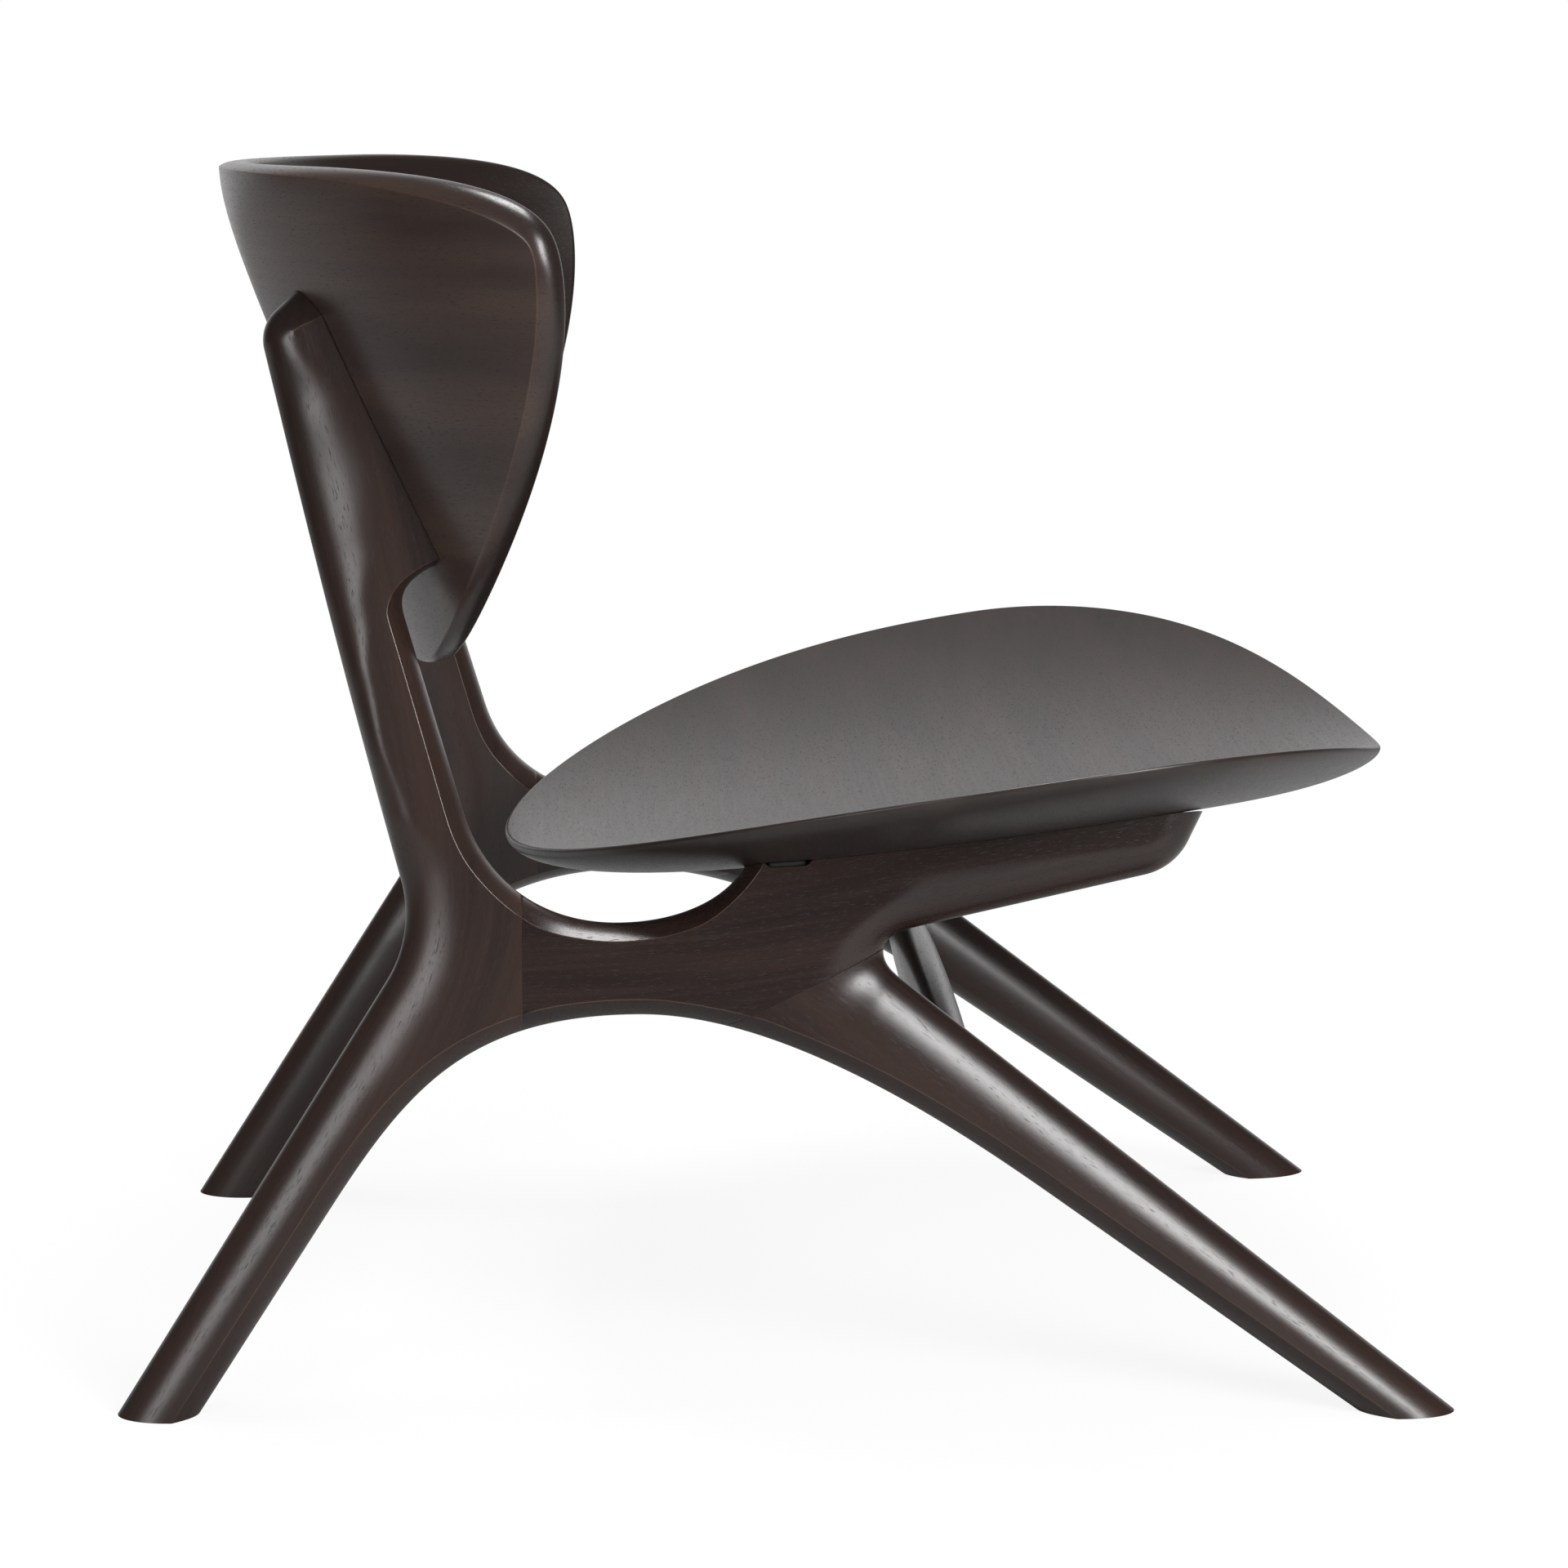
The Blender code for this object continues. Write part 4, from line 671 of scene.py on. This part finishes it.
NOTCH_REACH = 0.032
NOTCH_PULLS = (0.625, 0.625)
NOTCH_STEPS = 24
NOTCH_ROUND = 0.034
LEG_TOP_ROUND = 0.033
FRONT_TOE = 0.3673
FRONT_FOOT_LENGTH = 0.0538
FRONT_LEG_RAKE = radians(51.74)
FRONT_LEG_FLARE = radians(2.77)
FRONT_JOINT = -0.033
PAD_PLACES = {"front": 0.150, "rear": 0.001}
PAD_OFFSETS = {"front": 0.0, "rear": 0.004}
PAD_LENGTH = 0.022
PAD_WIDTH = 0.030
PAD_THICKNESS = 0.0024
RECESS_WALL = 0.00005
BEAM_TONES = ("#1b1311", "#231815", "#2c1f1a")
BEAM_GLOSS = (0.23, 0.29)
BEAM_GRAIN_TURN = -0.04
BEAM_GRAIN_EASE = 0.08

toe = complex(FRONT_TOE, 0)
toe_way = complex(-sin(FRONT_LEG_RAKE), cos(FRONT_LEG_RAKE))
instep = toe - FRONT_FOOT_LENGTH
instep_way = complex(-sin(FRONT_LEG_RAKE + FRONT_LEG_FLARE), cos(FRONT_LEG_RAKE + FRONT_LEG_FLARE))
front_spring = at_height(instep, instep_way, ARCH_FRONT_SPRING)
arch_front = bezier(ARCH_CROWN, 1, front_spring, -instep_way, ARCH_FRONT_PULLS, steps=70)
whole_arch = np.concatenate((arch_rear, arch_front[1:]))
eye_end_way = complex(cos(EYE_END_RISE), sin(EYE_END_RISE))
under_way = complex(cos(ARM_UNDERSIDE_RISE), sin(ARM_UNDERSIDE_RISE))
under_start = complex(0, ARM_UNDERSIDE_HEIGHT)
notch_corner = crossing(toe, toe_way, under_start, under_way)
notch = bezier(notch_corner - NOTCH_REACH * toe_way, toe_way, notch_corner + NOTCH_REACH * under_way,
               under_way, NOTCH_PULLS, NOTCH_STEPS)
nose_way = complex(sin(ARM_NOSE_RAKE), cos(ARM_NOSE_RAKE))
seam = NOTCH_STEPS // 2
notch_seam = notch[seam]
arch_seam = cut_at(whole_arch, REAR_JOINT, FRONT_JOINT)[-1]
seam_lift = 1j * (notch_seam - arch_seam) / abs(notch_seam - arch_seam) * GLUE_LINE


def to_pads(plane, place, z):
    """Arm top scribed to the seat, falling away by the square at its tip and sunk for the pads.

    A recess is a pad's thickness deep and as wide as the pad. The rear one opens to the outer face.
    """
    sunk = ARM_TIP_DROP * np.clip(1 - (ARM_TIP - place.real) / ARM_TIP_RUN, 0, 1) ** 2
    outward = -np.sign(plane.translation.x) * z
    for end, spot in PAD_PLACES.items():
        over = np.abs(place.real - spot) < PAD_LENGTH / 2 + FIT
        over = over & (np.abs(outward - PAD_OFFSETS[end]) < PAD_WIDTH / 2 + FIT)
        sunk = np.where(over, PAD_THICKNESS + FIT, sunk)
    return to_seat(plane, place, z) - 1j * sunk


for label, side in SIDES.items():
    plane = frame_plane(side)
    rear, tip = to_seat(plane, np.array([ARM_REAR, ARM_TIP]) + 1j * ARM_TOP_GUESS, 0.0)
    eye_front = bezier(EYE_BASE, 1, rear, eye_end_way, EYE_FRONT_PULLS, steps=60)
    eye = cut_at(np.concatenate((eye_rear, eye_front[1:])), REAR_JOINT + GLUE_LINE, rear.real)
    middle = cut_at(whole_arch, REAR_JOINT + GLUE_LINE, FRONT_JOINT)
    nose_corner = crossing(tip, nose_way, under_start, under_way)
    nose = fillet(nose_corner, under_way, nose_way, ARM_NOSE_RADIUS, steps=20)
    top = [tip]
    for spot in PAD_PLACES.values():
        half = PAD_LENGTH / 2 + FIT
        for wall in (spot + half, spot - half):
            for x in (wall + RECESS_WALL, wall - RECESS_WALL):
                top.append(tip + (rear - tip) * (x - tip.real) / (rear.real - tip.real))
    top.append(rear)
    top = np.concatenate([straight(a, b, max(1, round(abs(b - a) / ARM_TOP_STEP)))[:-1]
                          for a, b in zip(top, top[1:])] + [[rear]])
    low_line = np.concatenate(([notch_seam + seam_lift], notch[seam + 1:-1],
                               straight(notch[-1], nose[0], steps=60)[:-1],
                               nose[:-1], straight(nose[-1], tip, steps=8)))
    beam = loft(label + "_shaped_side_beam", plane, (
        Edge(np.concatenate((middle[:-1], [middle[-1] + seam_lift])), BEVEL, (ARRIS_BAND, ARRIS_BAND)),
        Edge(straight(middle[-1] + seam_lift, notch_seam + seam_lift, steps=30)),
        Edge(low_line, ROUND, (NOTCH_ROUND, ARM_ROUND), gives=(TAKE_UP, abs(tip - nose[-1]))),
        Edge(top, scribe=to_pads),
        Edge(eye[::-1], BEVEL, (EYE_BAND, EYE_BAND)),
        Edge(straight(eye[0], middle[0], steps=12))))
    board = board_of(plane, 1)
    slope = tan(ARM_UNDERSIDE_RISE)
    sweep = (slope / 2, slope / 2, BEAM_GRAIN_TURN, BEAM_GRAIN_EASE)
    beam.data.materials.append(stained_mahogany(label + "_beam_stained_mahogany", board, BEAM_TONES,
                                                sweep, gloss=BEAM_GLOSS))
    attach(beam, "root")
    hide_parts(label + "_side_beam")

# Front legs
# Raking legs of 38 mm mahogany, rounded above and bevelled below, doweled and glued under the beams
# along a seam from the arch to the notch. Each foot is sawn flat on the floor.
FRONT_LEG_ROUND = 0.0214
LEG_TONES = ("#1c1412", "#251a17", "#2e211c")

low_arch = cut_at(whole_arch, FRONT_JOINT, front_spring.real)
under_leg = np.concatenate(([low_arch[0] - seam_lift], low_arch[1:-1],
                            straight(front_spring, instep, steps=60)))
for label, side in SIDES.items():
    plane = frame_plane(side)
    leg = loft(label + "_shaped_front_leg", plane, (
        Edge(under_leg, BEVEL, (ARRIS_BAND, ARRIS_BAND), gives=(TAKE_UP, abs(front_spring - instep))),
        Edge(straight(instep, toe, steps=4), scribe=partial(to_floor, way=toe_way)),
        Edge(straight(toe, notch[0], steps=100), ROUND, (FRONT_LEG_ROUND, LEG_TOP_ROUND),
             gives=(abs(toe - notch[0]), TAKE_UP)),
        Edge(np.concatenate((notch[:seam], [notch_seam - seam_lift])), ROUND,
             (LEG_TOP_ROUND, NOTCH_ROUND), gives=(TAKE_UP, abs(notch_seam - notch[0]))),
        Edge(straight(notch_seam - seam_lift, low_arch[0] - seam_lift, steps=30))))
    board = board_of(plane, -toe_way)
    leg.data.materials.append(stained_mahogany(label + "_leg_stained_mahogany", board, LEG_TONES))
    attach(leg, "root")
    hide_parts(label + "_front_leg")

# Front stretcher
# An oval mahogany spindle that swells towards its middle, turned and flattened with a spokeshave,
# coped over the rounds of both front legs and held by two dowels at each end.
STRETCHER_PLACE = 0.095 + 0.184j
STRETCHER_END = (0.021, 0.033)
STRETCHER_MIDDLE = (0.027, 0.040)
STRETCHER_TONES = ("#1a1412", "#211815", "#291e1a")
COPE_ROUNDS = 6


def stretcher_rings(bays=80, around=96):
    """Ovals from leg to leg: half width times cos, half depth times sin, swelling by 4 t (1 - t).

    Each line along the spindle ends where it meets the leg, whose face falls away over its round
    as half the thickness times sqrt(1 - (1 - distance from the edge / round)^2).
    """
    planes = {label: frame_plane(side) for label, side in SIDES.items()}
    ends = [in_room(planes[label], np.array([STRETCHER_PLACE]), 0.0)[0] for label in SIDES]
    turn = np.arange(around) * 2 * pi / around

    def spot(share):
        """Points of the ovals, each at a share of the way from leg to leg."""
        swell = 4 * share * (1 - share)
        wide, deep = [a + (b - a) * swell for a, b in zip(STRETCHER_END, STRETCHER_MIDDLE)]
        line = ends[0] + (ends[1] - ends[0]) * share[..., None]
        return line + np.stack((0 * share, wide / 2 * np.cos(turn), deep / 2 * np.sin(turn)), axis=-1)

    limits = []
    for label, end in zip(SIDES, (0.0, 1.0)):
        back_to_plane = np.array(planes[label].inverted())
        share = np.full(around, end)
        for _ in range(COPE_ROUNDS):
            local = spot(share) @ back_to_plane[:3, :3].T + back_to_plane[:3, 3]
            from_toe = local[:, 0] + 1j * local[:, 1] - toe
            up_leg = np.abs(from_toe) / abs(notch[0] - toe)
            leg_round = eased((FRONT_LEG_ROUND, LEG_TOP_ROUND), up_leg)
            distance = (from_toe.conj() * 1j * toe_way).real
            fall = 1 - np.clip(distance / leg_round, 0, 1)
            face = FRAME_THICKNESS / 2 * np.sqrt(1 - fall ** 2) + FIT
            share = share + (1 - 2 * end) * (face - np.abs(local[:, 2])) / np.abs(ends[1] - ends[0])[0]
        limits.append(share)
    t = np.linspace(0, 1, bays + 1)[:, None]
    return spot(limits[0] + (limits[1] - limits[0]) * t)


rings = stretcher_rings()
stretcher = skin("turned_front_stretcher", rings, np.zeros(rings.shape[:2]))
stretcher.data.materials.append(stained_mahogany("stretcher_stained_mahogany", Matrix.Identity(4),
                                                 STRETCHER_TONES))
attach(stretcher, "root")
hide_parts("front_stretcher")

# Dowels
# Beech dowels of 8 and 10 mm, planed and left bare, glued blind into the joints of the frames, the
# stretcher, the seat and the back. None of them shows once the chair is together.


def flecked(name, size, tones, roughness, metallic=0.0):
    """Material whose colour wavers between two tones, in flecks of a size."""
    material = bpy.data.materials.new(name)
    material.use_nodes = True
    tree = material.node_tree
    place = add_node(tree, "TexCoord", {}).outputs["Object"]
    fleck = add_node(tree, "TexNoise", {"Vector": place, "Scale": 1 / size, "Detail": 2.0}).outputs[0]
    colour = add_node(tree, "ValToRGB", {0: fleck}, stops=zip((0.3, 0.7), tones)).outputs[0]
    shader = tree.nodes["Principled BSDF"]
    tree.links.new(colour, shader.inputs["Base Color"])
    shader.inputs["Roughness"].default_value = roughness
    shader.inputs["Metallic"].default_value = metallic
    return material


# Beech is even, pale and pinkish, with flecks about 1 mm long.
beech = flecked("planed_bare_beech", size=0.001, tones=("#a0764f", "#c29a70"), roughness=0.6)
for name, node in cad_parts.items():
    if "dowel" in name:
        node.data.materials.clear()
        node.data.materials.append(beech)

# Packing pads
# Pads of black rubber, die-cut from 2.4 mm sheet with rounded corners and glued into the arms' tops,
# where they keep the seat off the wood.
PAD_EASE = 0.0003
PAD_CORNER_POWER = 6
PAD_SHARES = (0.05, 0.5, 0.97, 1.0)


def pad_rings(plane, end, around=64):
    """Rings from the middle of a pad's top to that of its underside, laid along the seat above.

    Each is a share of a superellipse, |cos|^(2/power) long by |sin|^(2/power) wide, at a depth.
    """
    turn = np.arange(around) * 2 * pi / around
    long, wide = [np.sign(f(turn)) * np.abs(f(turn)) ** (2 / PAD_CORNER_POWER) for f in (np.cos, np.sin)]
    share = np.array(PAD_SHARES + PAD_SHARES[::-1])[:, None]
    depth = np.array((0, 0, 0, PAD_EASE, PAD_THICKNESS - PAD_EASE, *[PAD_THICKNESS] * 3))[:, None]
    middle = -np.sign(plane.translation.x) * PAD_OFFSETS[end]
    place = PAD_PLACES[end] + share * long * PAD_LENGTH / 2 + 1j * SEAT_REAR_HEIGHT
    z = middle - share * wide * PAD_WIDTH / 2
    return in_room(plane, to_seat(plane, place, z) - 1j * depth, z)


# Sheet rubber is matt and dusty, with a grain about 0.5 mm across.
rubber = flecked("die_cut_black_rubber", size=0.0005, tones=("#0b0b0b", "#171615"), roughness=0.75)
for label, side in SIDES.items():
    for end in PAD_PLACES:
        rings = pad_rings(frame_plane(side), end)
        pad = skin(label + "_" + end + "_packing_pad", rings, np.zeros(rings.shape[:2]))
        pad.data.materials.append(rubber)
        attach(pad, "root")
        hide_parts(label + "_" + end + "_seat_pad")

# Seat screws
# A zinc-plated steel screw, sunk into the front of each arm from below, pulls the seat down on the
# pads. The holes are drawn closed here, so neither screw shows.

# Bright zinc is a cool grey with cloudy patches about 2 mm across.
zinc = flecked("zinc_plated_steel", size=0.002, tones=("#a9acb0", "#c8cacc"), roughness=0.35,
               metallic=1.0)
for name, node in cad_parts.items():
    if name.endswith("_screw"):
        node.data.materials.clear()
        node.data.materials.append(zinc)

# Floor, light and camera
# A white studio floor that keeps only a faint shadow, and a white backdrop behind the chair in a room
# that is dark on the camera's side. Three soft boxes: overhead, to the front and to the rear.
FLOOR_SIZE = 12.0
FLOOR_SHADE = 0.12
FLOOR_LIT = (1.2, 2.2)
FLOOR_FADE = (0.35, 0.9)
FLOOR_WHITE_FROM = (0.0, 0.8)
FLOOR_GLOSS = 0.35
FLOOR_SEEN_TONE = "#f4f4f4"
FLOOR_NEAR_TONE = "#acacac"
FLOOR_FAR_TONE = "#303030"
BACKDROP_FROM = (0.65, 0.95)
ROOM_GLOSS = 0.08
ROOM_LIGHT = 0.35
# Place, aim, width, height and power of each soft box
SOFT_BOXES = (
    ((0.2, 0.0, 2.5), (0, 0, 0.3), 1.0, 1.0, 48.0),
    ((-1.83, -1.12, 1.15), (-0.28, -0.15, 0.17), 0.8, 1.3, 62.0),
    ((-2.3, 1.8, 0.83), (-0.25, 0.25, 0.38), 1.1, 1.2, 24.0),
)
CAMERA_PLACE = (-2.4287, 0.0928, 0.7218)
CAMERA_WAY = (0.9851, -0.0411, -0.1671)
CAMERA_LENS = 94.69
CAMERA_SENSOR = 36.0


def seen_white(tree, rays, behind):
    """Two shares of white: 1 for rays from the camera or through glass, and the sum with mirrored rays.

    A mirrored ray counts by how far the spot that it meets lies behind the chair.
    """
    mirrored = add_node(tree, "Math", {0: rays["Is Glossy Ray"], 1: behind},
                        operation="MULTIPLY").outputs[0]
    direct = add_node(tree, "Math", {0: rays["Is Camera Ray"], 1: rays["Is Transmission Ray"]},
                      operation="ADD").outputs[0]
    return direct, add_node(tree, "Math", {0: direct, 1: mirrored}, operation="ADD").outputs[0]


mesh = bpy.data.meshes.new("studio_floor")
reach = FLOOR_SIZE / 2
mesh.from_pydata([(-reach, -reach, 0), (reach, -reach, 0), (reach, reach, 0), (-reach, reach, 0)], [],
                 [(0, 1, 2, 3)])
floor = bpy.data.objects.new("studio_floor", mesh)
bpy.context.scene.collection.objects.link(floor)
paint = bpy.data.materials.new("matt_white_floor_paint")
paint.use_nodes = True
tree = paint.node_tree
tree.nodes.clear()
place = add_node(tree, "TexCoord", {}).outputs["Object"]
across = add_node(tree, "SeparateXYZ", {0: place}).outputs[0]
behind = add_node(tree, "MapRange", {"Value": across, "From Min": FLOOR_WHITE_FROM[0],
                                     "From Max": FLOOR_WHITE_FROM[1], "To Max": FLOOR_GLOSS}).outputs[0]
rays = add_node(tree, "LightPath", {}).outputs
direct, seen = seen_white(tree, rays, behind)
away = add_node(tree, "VectorMath", {0: place}, operation="LENGTH").outputs["Value"]
fade = add_node(tree, "MapRange", {"Value": away, "From Min": FLOOR_FADE[0], "From Max": FLOOR_FADE[1],
                                   "To Min": 1 - FLOOR_SHADE, "To Max": 1.0}).outputs[0]
share = add_node(tree, "Math", {0: seen, 1: fade}, operation="MULTIPLY").outputs[0]
far = add_node(tree, "MapRange", {"Value": away, "From Min": FLOOR_LIT[0],
                                  "From Max": FLOOR_LIT[1]}).outputs[0]
colour = add_node(tree, "Mix", {0: far, 6: linear(FLOOR_NEAR_TONE), 7: linear(FLOOR_FAR_TONE)},
                  data_type="RGBA").outputs[2]
colour = add_node(tree, "Mix", {0: direct, 6: colour, 7: linear(FLOOR_SEEN_TONE)},
                  data_type="RGBA").outputs[2]
matt = add_node(tree, "BsdfDiffuse", {"Color": colour}).outputs[0]
glow = add_node(tree, "Emission", {"Color": linear("#ffffff"), "Strength": 1.0}).outputs[0]
mixed = add_node(tree, "MixShader", {0: share, 1: matt, 2: glow}).outputs[0]
add_node(tree, "OutputMaterial", {"Surface": mixed})
floor.data.materials.append(paint)

world = bpy.data.worlds.new("white_studio")
bpy.context.scene.world = world
world.use_nodes = True
tree = world.node_tree
tree.nodes.clear()
way = add_node(tree, "TexCoord", {}).outputs["Generated"]
toward = add_node(tree, "SeparateXYZ", {0: way}).outputs[0]
behind = add_node(tree, "MapRange", {"Value": toward, "From Min": BACKDROP_FROM[0],
                                     "From Max": BACKDROP_FROM[1], "To Min": ROOM_GLOSS,
                                     "To Max": 1.0}).outputs[0]
rays = add_node(tree, "LightPath", {}).outputs
seen = seen_white(tree, rays, behind)[1]
level = add_node(tree, "MapRange", {"Value": rays["Is Glossy Ray"], "To Min": ROOM_LIGHT,
                                    "To Max": 0.0}).outputs[0]
strength = add_node(tree, "Math", {0: seen, 1: level}, operation="MAXIMUM").outputs[0]
sky = add_node(tree, "Background", {"Color": linear("#ffffff"), "Strength": strength}).outputs[0]
add_node(tree, "OutputWorld", {"Surface": sky})

for i, (place, aim, wide, high, power) in enumerate(SOFT_BOXES):
    lamp = bpy.data.lights.new("soft_box_%d" % i, "AREA")
    lamp.shape = "RECTANGLE"
    lamp.size = wide
    lamp.size_y = high
    lamp.energy = power
    box = bpy.data.objects.new("soft_box_%d" % i, lamp)
    box.location = place
    box.rotation_euler = (Vector(aim) - Vector(place)).to_track_quat("-Z", "Y").to_euler()
    bpy.context.scene.collection.objects.link(box)

lens = bpy.data.cameras.new("camera")
lens.lens = CAMERA_LENS
lens.sensor_width = CAMERA_SENSOR
camera = bpy.data.objects.new("camera", lens)
camera.location = CAMERA_PLACE
camera.rotation_euler = Vector(CAMERA_WAY).to_track_quat("-Z", "Y").to_euler()
bpy.context.scene.collection.objects.link(camera)
bpy.context.scene.camera = camera
bpy.context.scene.view_settings.view_transform = "Standard"
